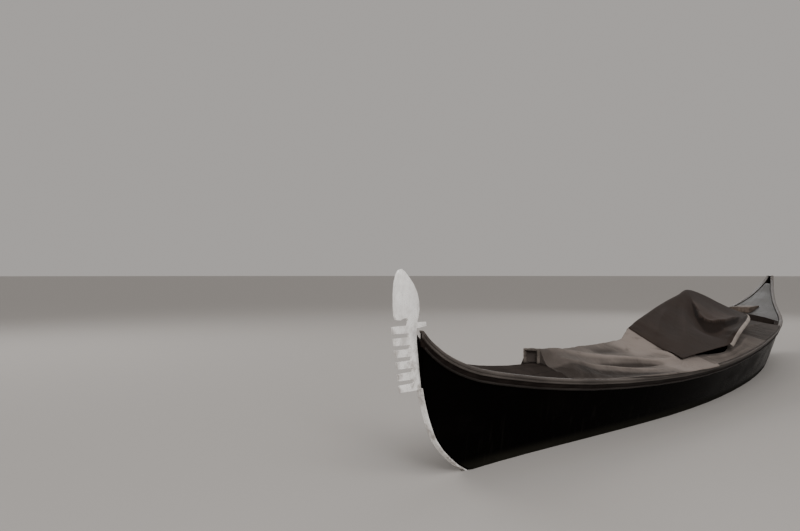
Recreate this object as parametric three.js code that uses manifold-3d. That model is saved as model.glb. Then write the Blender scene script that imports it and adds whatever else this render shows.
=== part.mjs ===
// Venetian gondola, laid up afloat under its covers. Millimetres.
// +X forward to the bow, +Y to port, +Z up. The origin is on the waterline, on the centreline, amidships.
import * as THREE from "three";
import { mergeVertices } from "three/addons/utils/BufferGeometryUtils.js";
import Module from "manifold-3d";

const wasm = await Module();
wasm.setup();

// Main sizes
const BOW_X = 5450; // the sheer's forward end; a station s is measured aft from here
const STBD = 0.711; // starboard half-breadths over port ones: the hull is built lopsided
const PLANK = 18; // side planking
const BOTTOM = 24; // bottom planking
const STRAKE_H = 80; // height of the sheer strake
const STRAKE_T = 26; // its thickness
const STRAKE_PROUD = 7; // how far it stands out of the planking below
const POST_HALF = 18; // half thickness of stem and stern post
const POST_DEPTH = 62;
const GAP = 0.4; // clearance between pieces that rest on each other
const BULGE = 0.12; // fullness of the side between chine and sheer

// Hull lines. Columns: s, sheer height, bottom height, port half-breadth at the sheer, the same at the chine
const LINES = [
  [75, 955, 900, 30, 28],
  [95, 937, 770, 32, 28],
  [122, 911, 610, 35, 28],
  [160, 881, 490, 40, 28],
  [205, 851, 385, 46, 28],
  [280, 805, 262, 55, 28],
  [430, 738, 130, 76, 30],
  [640, 672, 8, 106, 36],
  [1000, 603, -66, 170, 72],
  [1400, 540, -108, 262, 128],
  [2000, 474, -148, 400, 222],
  [2700, 430, -178, 545, 330],
  [3500, 408, -198, 680, 440],
  [4400, 420, -206, 785, 508],
  [5300, 462, -202, 829, 532],
  [6200, 511, -182, 820, 526],
  [7000, 560, -146, 775, 496],
  [7800, 611, -92, 690, 446],
  [8500, 664, -20, 572, 374],
  [9100, 738, 78, 428, 272],
  [9600, 834, 206, 297, 170],
  [10000, 928, 348, 206, 98],
  [10350, 1040, 525, 130, 50],
  [10650, 1155, 735, 74, 31],
  [10780, 1212, 890, 48, 28],
  [10850, 1244, 1040, 36, 28],
  [10890, 1262, 1180, 31, 28],
  [10905, 1268, 1258, 29, 28],
];
const [SHEER, KEEL, BEAM, CHINE] = [1, 2, 3, 4];

// Value of one column of the hull lines at station s: a cubic through the rows, with the slopes of the chords beside it
function line(s, column) {
  const n = LINES.length;
  let i = 0;
  while (i < n - 2 && s > LINES[i + 1][0]) i += 1;
  const slope = (k) => {
    const a = Math.max(k - 1, 0);
    const b = Math.min(k + 1, n - 1);
    return (LINES[b][column] - LINES[a][column]) / (LINES[b][0] - LINES[a][0]);
  };
  const run = LINES[i + 1][0] - LINES[i][0];
  const t = (s - LINES[i][0]) / run;
  const [p, q] = [LINES[i][column], LINES[i + 1][column]];
  const [m, k] = [slope(i) * run, slope(i + 1) * run];
  const t2 = t * t;
  const t3 = t2 * t;
  return (2 * t3 - 3 * t2 + 1) * p + (t3 - 2 * t2 + t) * m + (3 * t2 - 2 * t3) * q + (t3 - t2) * k;
}

const sheerZ = (s) => line(s, SHEER);
const keelZ = (s) => line(s, KEEL);

// Outer half-breadth of the side at station s and height z, on side +1 (port) or -1
function halfAt(s, z, side) {
  const low = keelZ(s);
  const t = Math.min(Math.max((z - low) / (sheerZ(s) - low), 0), 1);
  const chine = line(s, CHINE);
  const wide = line(s, BEAM);
  const fullness = Math.min((wide - chine) / 200, 1) * BULGE;
  const half = chine + (wide - chine) * (t + fullness * 4 * t * (1 - t) * 0.5);
  const share = side > 0 ? 1 : STBD;
  return Math.max(half * share, 28);
}

// Closed mesh from triangles over a point list, turned to face outwards
function solid(points, triangles) {
  let volume = 0;
  for (const [a, b, c] of triangles) {
    const [p, q, r] = [points[a], points[b], points[c]];
    volume += p[0] * (q[1] * r[2] - q[2] * r[1]) + p[1] * (q[2] * r[0] - q[0] * r[2]) + p[2] * (q[0] * r[1] - q[1] * r[0]);
  }
  const geometry = new THREE.BufferGeometry();
  geometry.setAttribute("position", new THREE.Float32BufferAttribute(points.flat(), 3));
  geometry.setIndex(triangles.flatMap(([a, b, c]) => (volume < 0 ? [a, c, b] : [a, b, c])));
  return geometry;
}

// Skin over closed rings of equal count, with a flat cap at both ends; flat turns a ring's point into 2-D for its cap
function loft(rings, flat = (p) => [p[1], p[2]]) {
  const n = rings[0].length;
  const points = rings.flat();
  const triangles = [];
  for (let i = 0; i + 1 < rings.length; i += 1) {
    for (let j = 0; j < n; j += 1) {
      const a = i * n + j;
      const b = i * n + ((j + 1) % n);
      triangles.push([a, b, b + n], [a, b + n, a + n]);
    }
  }
  // Triangles of a flat ring, wound the way the ring runs
  const cap = (ring) => {
    const corners = ring.map((p) => new THREE.Vector2(...flat(p)));
    const along = Math.sign(THREE.ShapeUtils.area(corners));
    return THREE.ShapeUtils.triangulateShape(corners, []).map(([a, b, c]) => {
      const way = Math.sign(THREE.ShapeUtils.area([corners[a], corners[b], corners[c]]));
      return way === along ? [a, b, c] : [a, c, b];
    });
  };
  const last = (rings.length - 1) * n;
  for (const [a, b, c] of cap(rings[0])) triangles.push([c, b, a]);
  for (const [a, b, c] of cap(rings[rings.length - 1])) triangles.push([last + a, last + b, last + c]);
  return solid(points, triangles);
}

// Cloth of even thickness from a grid of points on its outer face, rows running aft, columns from port to starboard
function cloth(rows, thick) {
  const n = rows.length;
  const m = rows[0].length;
  const at = (i, j) => new THREE.Vector3(...rows[Math.min(Math.max(i, 0), n - 1)][Math.min(Math.max(j, 0), m - 1)]);
  const inner = rows.flatMap((row, i) =>
    row.map((p, j) => {
      const aft = at(i + 1, j).sub(at(i - 1, j));
      const over = at(i, j + 1).sub(at(i, j - 1));
      const out = aft.cross(over).normalize();
      return [p[0] - thick * out.x, p[1] - thick * out.y, p[2] - thick * out.z];
    }),
  );
  const points = [...rows.flat(), ...inner];
  const low = n * m;
  const triangles = [];
  for (let i = 0; i + 1 < n; i += 1) {
    for (let j = 0; j + 1 < m; j += 1) {
      const a = i * m + j;
      triangles.push([a, a + 1, a + m + 1], [a, a + m + 1, a + m]);
      triangles.push([low + a, low + a + m + 1, low + a + 1], [low + a, low + a + m, low + a + m + 1]);
    }
  }
  const edge = [];
  for (let j = 0; j + 1 < m; j += 1) edge.push([j, j + 1]);
  for (let i = 0; i + 1 < n; i += 1) edge.push([i * m + m - 1, (i + 1) * m + m - 1]);
  for (let j = m - 1; j > 0; j -= 1) edge.push([(n - 1) * m + j, (n - 1) * m + j - 1]);
  for (let i = n - 1; i > 0; i -= 1) edge.push([i * m, (i - 1) * m]);
  for (const [a, b] of edge) triangles.push([a, low + a, low + b], [a, low + b, b]);
  return solid(points, triangles);
}

function toManifold(geometry) {
  const bare = geometry.index ? geometry.toNonIndexed() : geometry.clone();
  for (const name of ["normal", "uv"]) bare.deleteAttribute(name);
  const merged = mergeVertices(bare, 1e-3);
  return new wasm.Manifold(
    new wasm.Mesh({
      numProp: 3,
      vertProperties: new Float32Array(merged.attributes.position.array),
      triVerts: new Uint32Array(merged.index.array),
    }),
  );
}

function fromManifold(body) {
  const mesh = body.getMesh();
  const points = [];
  for (let i = 0; i < mesh.numVert; i += 1) {
    points.push(Array.from(mesh.vertProperties.slice(i * mesh.numProp, i * mesh.numProp + 3)));
  }
  const geometry = new THREE.BufferGeometry();
  geometry.setAttribute("position", new THREE.Float32BufferAttribute(points.flat(), 3));
  geometry.setIndex(Array.from(mesh.triVerts));
  return geometry;
}

const join = (...parts) => fromManifold(parts.map(toManifold).reduce((a, b) => a.add(b)));
const cut = (body, ...tools) => fromManifold(tools.map(toManifold).reduce((a, b) => a.subtract(b), toManifold(body)));

// Plate with its outline in the X-Z plane, as thick as 2 * half across Y
function plate(outline, half, y = 0) {
  const shape = new THREE.Shape(outline.map(([x, z]) => new THREE.Vector2(x, z)));
  const geometry = new THREE.ExtrudeGeometry(shape, { depth: 2 * half, bevelEnabled: false });
  geometry.rotateX(Math.PI / 2);
  geometry.translate(0, y + half, 0);
  return geometry;
}

function box(x0, x1, y0, y1, z0, z1) {
  const geometry = new THREE.BoxGeometry(x1 - x0, y1 - y0, z1 - z0);
  geometry.translate((x0 + x1) / 2, (y0 + y1) / 2, (z0 + z1) / 2);
  return geometry;
}

const range = (a, b, n) => Array.from({ length: n }, (_, i) => a + ((b - a) * i) / (n - 1));

// Stations of the lofts: close together where the sheer and the stem bend
const BOW_STATIONS = [104, 122, 140, 160, 182, 205, 240, 280, 350, 430, 530, 640, 820, 1000, 1250, 1550];
const MID_STATIONS = range(1900, 8700, 15);
const STERN_STATIONS = [9100, 9350, 9600, 9800, 10000, 10180, 10350, 10500, 10650, 10740, 10800, 10850];
const STATIONS = [...BOW_STATIONS, ...MID_STATIONS, ...STERN_STATIONS];

// The same value on the flat facets that the lofts make between their stations
const RAIL_STATIONS = [77, 88, ...STATIONS, 10894];
const chord = (value) => (s, ...rest) => {
  const i = Math.max(RAIL_STATIONS.findIndex((at) => at >= s), 1);
  const [a, b] = [RAIL_STATIONS[i - 1], RAIL_STATIONS[i]];
  const t = (s - a) / (b - a);
  return value(a, ...rest) * (1 - t) + value(b, ...rest) * t;
};
const halfChord = chord(halfAt);
const keelChord = chord(keelZ);
const sheerChord = chord(sheerZ);

const group = new THREE.Group();
group.name = "gondola";

// Finishes. Columns: colour, roughness, metalness
const FINISH = {
  lacquer: [0x0b0a0a, 0.28, 0],
  strake: [0x231d1b, 0.35, 0],
  moulding: [0x8d8078, 0.4, 0],
  deck: [0x151211, 0.4, 0],
  floor: [0x4b4038, 0.7, 0],
  iron: [0xd9d6d2, 0.25, 1],
  canvas: [0x7d7167, 0.9, 0],
  tent: [0x453d39, 0.9, 0],
};

function add(name, geometry, finish) {
  const [color, roughness, metalness] = FINISH[finish];
  const mesh = new THREE.Mesh(geometry, new THREE.MeshStandardMaterial({ color, roughness, metalness }));
  mesh.name = name;
  group.add(mesh);
}

// Hull shell

// Side planking from the chine to the foot of the sheer strake
function planking(side, stations) {
  const rings = stations.map((s) => {
    const low = keelZ(s) + GAP;
    const high = sheerZ(s) - STRAKE_H - GAP;
    const outer = range(low, high, 5).map((z) => [BOW_X - s, side * halfAt(s, z, side), z]);
    const inner = outer
      .slice()
      .reverse()
      .map(([x, y, z]) => [x, side * Math.max(Math.abs(y) - PLANK, POST_HALF + 1), z]);
    return [...outer, ...inner];
  });
  return loft(rings);
}

// A batten along the side: section corners as [outward from the planking, up from the sheer]
function batten(side, corners, stations) {
  const rings = stations.map((s) =>
    corners.map(([out, up]) => {
      const z = sheerChord(s) + up;
      const y = Math.max(halfChord(s, Math.min(z, sheerChord(s)), side) + out, POST_HALF + 1);
      return [BOW_X - s, side * y, z];
    }),
  );
  return loft(rings);
}

const STRAKE_SECTION = [
  [STRAKE_PROUD, -STRAKE_H],
  [STRAKE_PROUD + 2, -STRAKE_H / 2],
  [STRAKE_PROUD, -GAP],
  [STRAKE_PROUD - STRAKE_T, -GAP],
  [STRAKE_PROUD - STRAKE_T, -STRAKE_H],
];
// The top moulding is a half-round over a square listel; the lower one is a plain half-round
const TOP_SECTION = [
  [STRAKE_PROUD + 2 + GAP, -34],
  [STRAKE_PROUD + 12, -32],
  [STRAKE_PROUD + 14, -22],
  [STRAKE_PROUD + 13, -18],
  [STRAKE_PROUD + 20, -14],
  [STRAKE_PROUD + 23, -4],
  [STRAKE_PROUD + 18, 6],
  [STRAKE_PROUD + 6, 10],
  [STRAKE_PROUD - STRAKE_T, 10],
  [STRAKE_PROUD - STRAKE_T, GAP],
  [STRAKE_PROUD + 2 + GAP, GAP],
];
const LOWER_SECTION = [
  [STRAKE_PROUD + 2 + GAP, -STRAKE_H - 2],
  [STRAKE_PROUD + 10, -STRAKE_H + 1],
  [STRAKE_PROUD + 13, -STRAKE_H + 7],
  [STRAKE_PROUD + 10, -STRAKE_H + 13],
  [STRAKE_PROUD + 2 + GAP, -STRAKE_H + 16],
];

// Stations from one seam to the next, with a clearance at both
const between = (stations, from, to) => [from + GAP / 2, ...stations.filter((s) => s > from + 1 && s < to - 1), to - GAP / 2];
const [STEM_END, STERN_END] = [STATIONS[0], STATIONS[STATIONS.length - 1]];
const SIDE_SEAMS = [MID_STATIONS[2], MID_STATIONS[11]];
// Lengths of planking. Columns: name, from, to
const SIDE_LENGTHS = [
  ["fore", STEM_END, SIDE_SEAMS[0]],
  ["middle", SIDE_SEAMS[0], SIDE_SEAMS[1]],
  ["aft", SIDE_SEAMS[1], STERN_END],
];

for (const [side, name] of [
  [1, "port"],
  [-1, "starboard"],
]) {
  for (const [length, from, to] of SIDE_LENGTHS) {
    add("side_planking_" + length + "_" + name, planking(side, between(STATIONS, from, to)), "lacquer");
  }
  add("sheer_strake_" + name, batten(side, STRAKE_SECTION, RAIL_STATIONS.slice(1, -1)), "strake");
  add("top_moulding_" + name, batten(side, TOP_SECTION, RAIL_STATIONS), "moulding");
  add("lower_moulding_" + name, batten(side, LOWER_SECTION, STATIONS), "moulding");
}

// Bottom planking in three lengths between the two posts
const BOTTOM_STATIONS = [900, 1000, 1250, 1550, ...MID_STATIONS, 9100, 9350, 9600, 9700];
const BOTTOM_LENGTHS = [
  ["fore", 900, MID_STATIONS[3]],
  ["middle", MID_STATIONS[3], MID_STATIONS[10]],
  ["aft", MID_STATIONS[10], 9700],
];
for (const [length, from, to] of BOTTOM_LENGTHS) {
  const rings = between(BOTTOM_STATIONS, from, to).map((s) => {
    const z = keelZ(s);
    const port = halfAt(s, z, 1);
    const starboard = -halfAt(s, z, -1);
    const x = BOW_X - s;
    return [
      [x, port, z - GAP],
      [x, starboard, z - GAP],
      [x, starboard, z - BOTTOM],
      [x, port, z - BOTTOM],
    ];
  });
  add("bottom_planking_" + length, loft(rings), "lacquer");
}

// Points of the hull's profile line at the given stations, moved out of the hull by a distance
function profile(stations, out) {
  const points = stations.map((s) => [BOW_X - s, keelZ(s)]);
  return points.map((p, i) => {
    const a = points[Math.max(i - 1, 0)];
    const b = points[Math.min(i + 1, points.length - 1)];
    const long = Math.hypot(b[0] - a[0], b[1] - a[1]);
    // The stations run aft, so the outside lies on the left hand of the line at the bow and at the stern
    return [p[0] - (out * (b[1] - a[1])) / long, p[1] + (out * (b[0] - a[0])) / long];
  });
}

// Stem and stern post: a curved timber inside the profile line, with its edge proud of the planks
const POST_PROUD = 8;
const STEM_STATIONS = [76, 95, 108, 122, 140, 160, 182, 205, 240, 280, 350, 430, 530, 640, 760, 885];
const STERN_POST_STATIONS = [9720, 9850, 10000, 10180, 10350, 10500, 10650, 10740, 10800, 10850, 10890, 10905];
const post = (stations) =>
  plate([...profile(stations, POST_PROUD), ...profile(stations, POST_PROUD - POST_DEPTH).reverse()], POST_HALF);
add("stem_post", post(STEM_STATIONS), "lacquer");
add("stern_post", post(STERN_POST_STATIONS), "lacquer");

// Bow iron: blade with six teeth forward and one aft under an axe-shaped crest, and a strap down the stem
const IRON_HALF = 7;
const TEETH = 6;
const TOOTH_PITCH = 70;
const TOOTH_HIGH = 46;
const TOOTH_LONG = 150;
const COMB_Z = 600; // lower edge of the lowest tooth
const COMB_FRONT = -55; // forward edge of the blade there, from the sheer's forward end
const COMB_RAKE = 0.2; // how far it goes forward for each millimetre up
const STRAP = 10;
const STRAP_HALF = 19; // half the strap's width across the stem
const combFront = (z) => COMB_FRONT + COMB_RAKE * (z - COMB_Z);
const teeth = Array.from({ length: TEETH }, (_, i) => {
  const z = COMB_Z + i * TOOTH_PITCH;
  return [
    [combFront(z), z],
    [combFront(z) + TOOTH_LONG, z + 5],
    [combFront(z + TOOTH_HIGH) + TOOTH_LONG, z + TOOTH_HIGH],
    [combFront(z + TOOTH_HIGH), z + TOOTH_HIGH],
  ];
}).flat();
// Crest, from the round notch over the comb to the back of the blade: [forward of the sheer's end, height]
const CREST = [
  [20, 1006],
  [16, 1026],
  [32, 1042],
  [62, 1042],
  [100, 1032],
  [138, 1036],
  [152, 1062],
  [158, 1120],
  [158, 1190],
  [150, 1252],
  [132, 1300],
  [108, 1328],
  [84, 1334],
  [52, 1318],
  [8, 1284],
  [-36, 1244],
  [-72, 1196],
  [-92, 1140],
  [-96, 1086],
  [-84, 1040],
  [-70, 1012],
];
// Tooth that points aft over the deck
const BACK_TOOTH = [
  [-168, 1010],
  [-172, 984],
  [-66, 976],
];
const forward = ([u, z]) => [BOW_X + u, z];
const ironBack = profile(STEM_STATIONS, POST_PROUD + GAP);
const strapStations = STEM_STATIONS.slice(3);
const strapFront = profile(strapStations, POST_PROUD + GAP + STRAP);
const blade = plate(
  [...strapFront.slice().reverse(), ...teeth.map(forward), ...CREST.map(forward), ...BACK_TOOTH.map(forward), ...ironBack],
  IRON_HALF,
);
const strap = plate([...profile(strapStations, POST_PROUD + GAP), ...strapFront.slice().reverse()], STRAP_HALF);
add("bow_iron", join(blade, strap), "iron");

// Stern iron: a strap over the outer edge of the stern post
const sternStrap = STERN_POST_STATIONS.slice(3);
add(
  "stern_iron",
  plate([...profile(sternStrap, POST_PROUD + GAP), ...profile(sternStrap, POST_PROUD + GAP + STRAP).reverse()], POST_HALF - 4),
  "iron",
);

// Decks

const FOREDECK_FROM = 200;
const FOREDECK_TO = 1900;
const COAMING_T = 26;
const AFT_DECK_FROM = 8060;
const AFT_DECK_TO = 10600;
const DECK_T = 18;
const FORE_CROWN = 0.34; // rise of the foredeck's middle over its port half-breadth
const AFT_CROWN = 0.11; // the same for the aft deck
const HEM = 12; // the covers' hems lie this far over the sheer
const EDGE = STRAKE_T - STRAKE_PROUD + 4 * GAP; // from the planking's outside to the inside of the strake
const insideAt = (s, side, depth) =>
  side * Math.max(halfChord(s, sheerChord(s) - depth, side) - EDGE - 1, POST_HALF + 1);

// Points across the boat at station s from port to starboard, between the strakes at a depth below the sheer,
// lifted above the sheer by a crown whose ridge is on the centreline
function across(s, count, crown, lift, depth = 30) {
  const port = insideAt(s, 1, depth);
  const starboard = insideAt(s, -1, depth);
  return range(-1, 1, count).map((t) => {
    const y = t < 0 ? -t * port : t * starboard;
    return [BOW_X - s, y, sheerChord(s) + lift + crown * (1 - t * t)];
  });
}

function deck(from, to, rise) {
  const stations = [from, ...STATIONS.filter((s) => s > from + 20 && s < to - 20), to];
  return loft(
    stations.map((s) => {
      const crown = rise * line(s, BEAM);
      return [...across(s, 9, crown, -4), ...across(s, 9, crown, -4 - DECK_T).reverse()];
    }),
  );
}

add("foredeck", deck(FOREDECK_FROM, FOREDECK_TO, FORE_CROWN), "deck");
add("aft_deck", deck(AFT_DECK_FROM, AFT_DECK_TO, AFT_CROWN), "deck");

// Coamings: cambered boards on edge that close the decks' ends
const COAMING_DEEP = 66;
const COAMING_RISE = 32;
function coaming(from, to, rise) {
  return loft(
    [from, to].map((s) => {
      const crown = rise * line(s, BEAM);
      const top = across(s, 9, crown + COAMING_RISE, HEM - 4, COAMING_DEEP);
      return [...top, ...across(s, 9, crown * 0.6, -COAMING_DEEP, COAMING_DEEP).reverse()];
    }),
  );
}
add("fore_coaming", coaming(FOREDECK_TO + GAP, FOREDECK_TO + COAMING_T, FORE_CROWN), "deck");
add("aft_coaming", coaming(AFT_DECK_FROM - COAMING_T, AFT_DECK_FROM - GAP, AFT_CROWN), "deck");

// Inwales along the open part
const INWALE_W = 58;
const INWALE_SECTION = [
  [-EDGE, -34],
  [-EDGE, 10],
  [-EDGE - INWALE_W, 10],
  [-EDGE - INWALE_W, -14],
  [-EDGE - 24, -34],
];
const inwaleStations = [FOREDECK_TO + COAMING_T + 2, ...MID_STATIONS.slice(1, -2), AFT_DECK_FROM - COAMING_T - 2];
add("inwale_port", batten(1, INWALE_SECTION, inwaleStations), "deck");
add("inwale_starboard", batten(-1, INWALE_SECTION, inwaleStations), "deck");

// Frames: ribs joined by a keelson
const RIB_AT = range(2300, 7550, 8);
const RIB_W = 34;
const RIB_T = 30;
const FLOOR_TIMBER = 40;
const CLEAR = 6; // between the frames and the planking
const FLOORBOARD_T = 16;
function rib(s) {
  const [a, b] = [s - RIB_W / 2, s + RIB_W / 2];
  const low = Math.max(keelChord(a), keelChord(b)) + GAP;
  const high = Math.min(sheerChord(a), sheerChord(b)) - STRAKE_H - 6;
  const reach = (z, side) => Math.min(halfChord(a, z, side), halfChord(b, z, side)) - PLANK - CLEAR;
  const rise = (side) => range(low, high, 4).map((z) => [side * reach(z, side), z]);
  const fall = (side) => range(high, low + FLOOR_TIMBER, 4).map((z) => [side * (reach(z, side) - RIB_T), z]);
  const outline = [...rise(1), ...fall(1), ...fall(-1).reverse(), ...rise(-1).reverse()];
  return loft([a, b].map((at) => outline.map(([y, z]) => [BOW_X - at, y, z])));
}
const keelsonStations = range(RIB_AT[0], RIB_AT[RIB_AT.length - 1], 14);
const keelson = loft(
  keelsonStations.map((s) => {
    const z = keelChord(s);
    const x = BOW_X - s;
    return [
      [x, 60, z + 3],
      [x, -60, z + 3],
      [x, -60, z + 26],
      [x, 60, z + 26],
    ];
  }),
);
add("frames", join(keelson, ...RIB_AT.map(rib)), "deck");

// Floorboards on the floor timbers
const floorTop = (s) => keelChord(s) + FLOOR_TIMBER + 14 + FLOORBOARD_T;
const floorStations = range(2200, 7600, 13);
const floorRings = floorStations.map((s) => {
  const z = floorTop(s);
  const x = BOW_X - s;
  const inner = (side) => side * (halfChord(s, z - FLOORBOARD_T, side) - PLANK - RIB_T - 16);
  return [
    [x, inner(1), z],
    [x, inner(-1), z],
    [x, inner(-1), z - FLOORBOARD_T],
    [x, inner(1), z - FLOORBOARD_T],
  ];
});
add("floorboards", loft(floorRings), "floor");

// Thwarts across the open part, hung between the inwales
function thwart(from, to, drop, thick) {
  return loft(
    [from, to].map((s) => {
      const z = sheerChord(s) - drop;
      const x = BOW_X - s;
      const inner = (side) => side * (halfChord(s, z - thick, side) - PLANK - RIB_T - 14);
      return [
        [x, inner(1), z],
        [x, inner(-1), z],
        [x, inner(-1), z - thick],
        [x, inner(1), z - thick],
      ];
    }),
  );
}
add("fore_thwart", thwart(3080, 3200, 50, 28), "deck");
add("aft_thwart", thwart(7080, 7200, 50, 28), "deck");

// Passenger seat without its cushions: bench, and leaning back with a pointed arch that stands on it
const SEAT_FROM = 5080;
const SEAT_TO = 5790;
const BACK_AT = 5722;
const BACK_THICK = 42;
const BACK_LEAN = 0.16;
const SEAT_PORT = 420;
const SEAT_STBD = -330;
const SEAT_MID = (SEAT_PORT + SEAT_STBD) / 2;
const SEAT_TOP = 170;
const seatFloor = Math.max(floorTop(SEAT_FROM), floorTop(SEAT_TO), floorTop((SEAT_FROM + SEAT_TO) / 2)) + GAP;
add("seat_bench", box(BOW_X - SEAT_TO, BOW_X - SEAT_FROM, SEAT_STBD, SEAT_PORT, seatFloor, SEAT_TOP), "deck");
const BACK_TOP = 1040;
// Half of the back's outline, port side: [out from its middle, height]
const BACK_HALF = [
  [375, SEAT_TOP + GAP],
  [420, 330],
  [420, 540],
  [390, 640],
  [310, 720],
  [210, 800],
  [120, 880],
  [60, 970],
];
const backOutline = [
  ...BACK_HALF.map(([y, z]) => [SEAT_MID + y, z]),
  [SEAT_MID, BACK_TOP],
  ...BACK_HALF.map(([y, z]) => [SEAT_MID - y, z])
    .reverse(),
];
const backRing = (s) => backOutline.map(([y, z]) => [BOW_X - s - BACK_LEAN * (z - SEAT_TOP), y, z]);
add("seat_back", loft([backRing(BACK_AT), backRing(BACK_AT + BACK_THICK)]), "deck");

// Height of a deck's upper face at station s and distance y off the centreline
function deckTop(s, y, rise) {
  const share = y / insideAt(s, y < 0 ? -1 : 1, 30);
  return sheerChord(s) - 4 + rise * line(s, BEAM) * (1 - share * share);
}

// Standing platform: a wedge on the aft deck with a level top
const PLATFORM_FROM = 8450;
const PLATFORM_TO = 9150;
const PLATFORM_STBD = -120;
const PLATFORM_PORT = 160;
const PLATFORM_Z = deckTop(PLATFORM_TO, 0, AFT_CROWN) + 16;
const platformYs = range(PLATFORM_PORT, PLATFORM_STBD, 5);
const platformStations = [PLATFORM_FROM, ...STATIONS.filter((s) => s > PLATFORM_FROM && s < PLATFORM_TO), PLATFORM_TO];
const platformRings = platformStations.map((s) => [
  ...platformYs.map((y) => [BOW_X - s, y, deckTop(s, y, AFT_CROWN) + 4]),
  [BOW_X - s, PLATFORM_STBD, PLATFORM_Z],
  [BOW_X - s, PLATFORM_PORT, PLATFORM_Z],
]);
add("stern_platform", loft(platformRings), "floor");

// Socket block for the rowlock, on the starboard inwale
const BLOCK_FROM = 7560;
const BLOCK_TO = 7780;
const BLOCK_W = 76;
const BLOCK_Z = sheerZ(BLOCK_TO) + 66;
const SLOT = [84, 30]; // socket, along and across
const blockRings = [BLOCK_FROM, BLOCK_TO].map((s) => {
  const outer = insideAt(BLOCK_TO, -1, 0);
  const low = sheerChord(s) + HEM + 2;
  return [
    [BOW_X - s, outer, low],
    [BOW_X - s, outer + BLOCK_W, low],
    [BOW_X - s, outer + BLOCK_W, BLOCK_Z],
    [BOW_X - s, outer, BLOCK_Z],
  ];
});
const blockMid = [BOW_X - (BLOCK_FROM + BLOCK_TO) / 2, insideAt(BLOCK_TO, -1, 0) + BLOCK_W / 2];
const slot = box(
  blockMid[0] - SLOT[0] / 2,
  blockMid[0] + SLOT[0] / 2,
  blockMid[1] - SLOT[1] / 2,
  blockMid[1] + SLOT[1] / 2,
  BLOCK_Z - 200,
  BLOCK_Z + 10,
);
add("rowlock_block", cut(loft(blockRings), slot), "deck");

// Covers

const CLOTH = 6; // thickness that stands for the cloth and its folds
// Way of a hem over the top moulding: [outward from the planking, up from the sheer]
const HEM_PATH = [
  [-8, 20],
  [28, 18],
  [38, 6],
  [40, -34],
];
function hemPoint(length) {
  let left = length;
  for (let i = 0; i + 1 < HEM_PATH.length; i += 1) {
    const [p, q] = [HEM_PATH[i], HEM_PATH[i + 1]];
    const run = Math.hypot(q[0] - p[0], q[1] - p[1]);
    if (left <= run || i + 2 === HEM_PATH.length) return [0, 1].map((k) => p[k] + ((q[k] - p[k]) * left) / run);
    left -= run;
  }
}

// One row of a cover stretched over a ridge line, port hem to starboard hem. It lies over a crown like a deck's and
// climbs from there to the ridge; hang is the length of the hem from the gunwale's top outward and down; lee is the
// sharpness of the ridge on the starboard side, where that differs
const HEM_AT = [1, 0.8, 0.6, 0.4, 0.2];
const SLOPE_AT = [0.99, 0.9, 0.78, 0.66, 0.54, 0.42, 0.3, 0.2, 0.11, 0.04];
const hem = (s, sign, hang) =>
  HEM_AT.map((share) => {
    const [away, up] = hemPoint(share * hang);
    return [BOW_X - s, sign * (halfAt(s, sheerZ(s), sign) + away), sheerZ(s) + up];
  });
const edgeAt = (s, sign) => halfAt(s, sheerZ(s), sign) + HEM_PATH[0][0];
const topAt = (s) => sheerZ(s) + HEM_PATH[0][1];
function roof([s, ridge, sharp, crown, hang, lee = sharp]) {
  const climb = ridge - topAt(s) - crown;
  const side = (sign, power) => [
    ...hem(s, sign, hang),
    ...SLOPE_AT.map((u) => [
      BOW_X - s,
      sign * edgeAt(s, sign) * u,
      topAt(s) + crown * (1 - u * u) + climb * (1 - u) ** power,
    ]),
  ];
  return [...side(1, sharp), [BOW_X - s, 0, ridge], ...side(-1, lee).reverse()];
}

// Fore cover, from its front edge over the foredeck to the tent. Columns: s, ridge height, sharpness of the ridge,
// crown of what it lies on, hang of the hems, sharpness to starboard
const FORE_COVER = [
  [1642, 736, 4.2, 104, 24],
  [1750, 716, 3.6, 126, 24],
  [1860, 700, 3, 160, 24],
  [1980, 690, 2.4, 160, 24],
  [2200, 680, 1.9, 90, 24],
  [2400, 677, 1.6, 40, 24],
  [2460, 676, 1.55, 36, 36],
  [2520, 676, 1.5, 32, 50],
  [2590, 675, 1.45, 28, 66],
  [2670, 674, 1.4, 24, 88],
  [3000, 668, 1.25, 14, 88, 1.6],
  [3300, 665, 1.2, 10, 88, 2.2],
  [3560, 670, 1.15, 10, 88, 3.2],
  [3660, 722, 1.12, 10, 88, 4],
  [3760, 764, 1.1, 10, 88, 4],
  [3900, 772, 1.1, 10, 88, 4],
  [4050, 756, 1.1, 10, 88, 4],
];
add("fore_cover", cloth(FORE_COVER.map(roof), CLOTH), "canvas");

// Aft cover, behind the seat's back, the same way
const AFT_COVER = [
  [6050, 768, 1.2, 10, 24],
  [6400, 752, 1.2, 20, 24],
  [6800, 740, 1.2, 30, 24],
  [7200, 728, 1.25, 40, 24],
  [7480, 718, 1.3, 50, 24],
];
add("aft_cover", cloth(AFT_COVER.map(roof), CLOTH), "canvas");

// Side flap: the aft cover's canvas runs forward from it along the port gunwale to the fore cover.
// Columns: s, inner edge's distance off the centreline, its height
const SIDE_FLAP = [
  [FORE_COVER[FORE_COVER.length - 1][0] + GAP, 560, 505],
  [4250, 600, 500],
  [4470, 640, 495],
  [4700, 690, 505],
  [5000, 652, 556],
  [5400, 584, 597],
  [5800, 524, 612],
  [AFT_COVER[0][0] - GAP, 480, 622],
];
const FLAP_AT = [0.02, 0.18, 0.36, 0.54, 0.7, 0.85, 1];
const FLAP_HANG = 24;
const FLAP_BOW = 1.15; // how hollow it hangs between the gunwale and its inner edge
const flapRows = SIDE_FLAP.map(([s, y, z]) => {
  const slope = FLAP_AT.map((t) => [
    BOW_X - s,
    edgeAt(s, 1) * (1 - t) + y * t,
    topAt(s) + (z - topAt(s)) * t ** FLAP_BOW,
  ]);
  return [...hem(s, 1, FLAP_HANG), ...slope];
});
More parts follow.
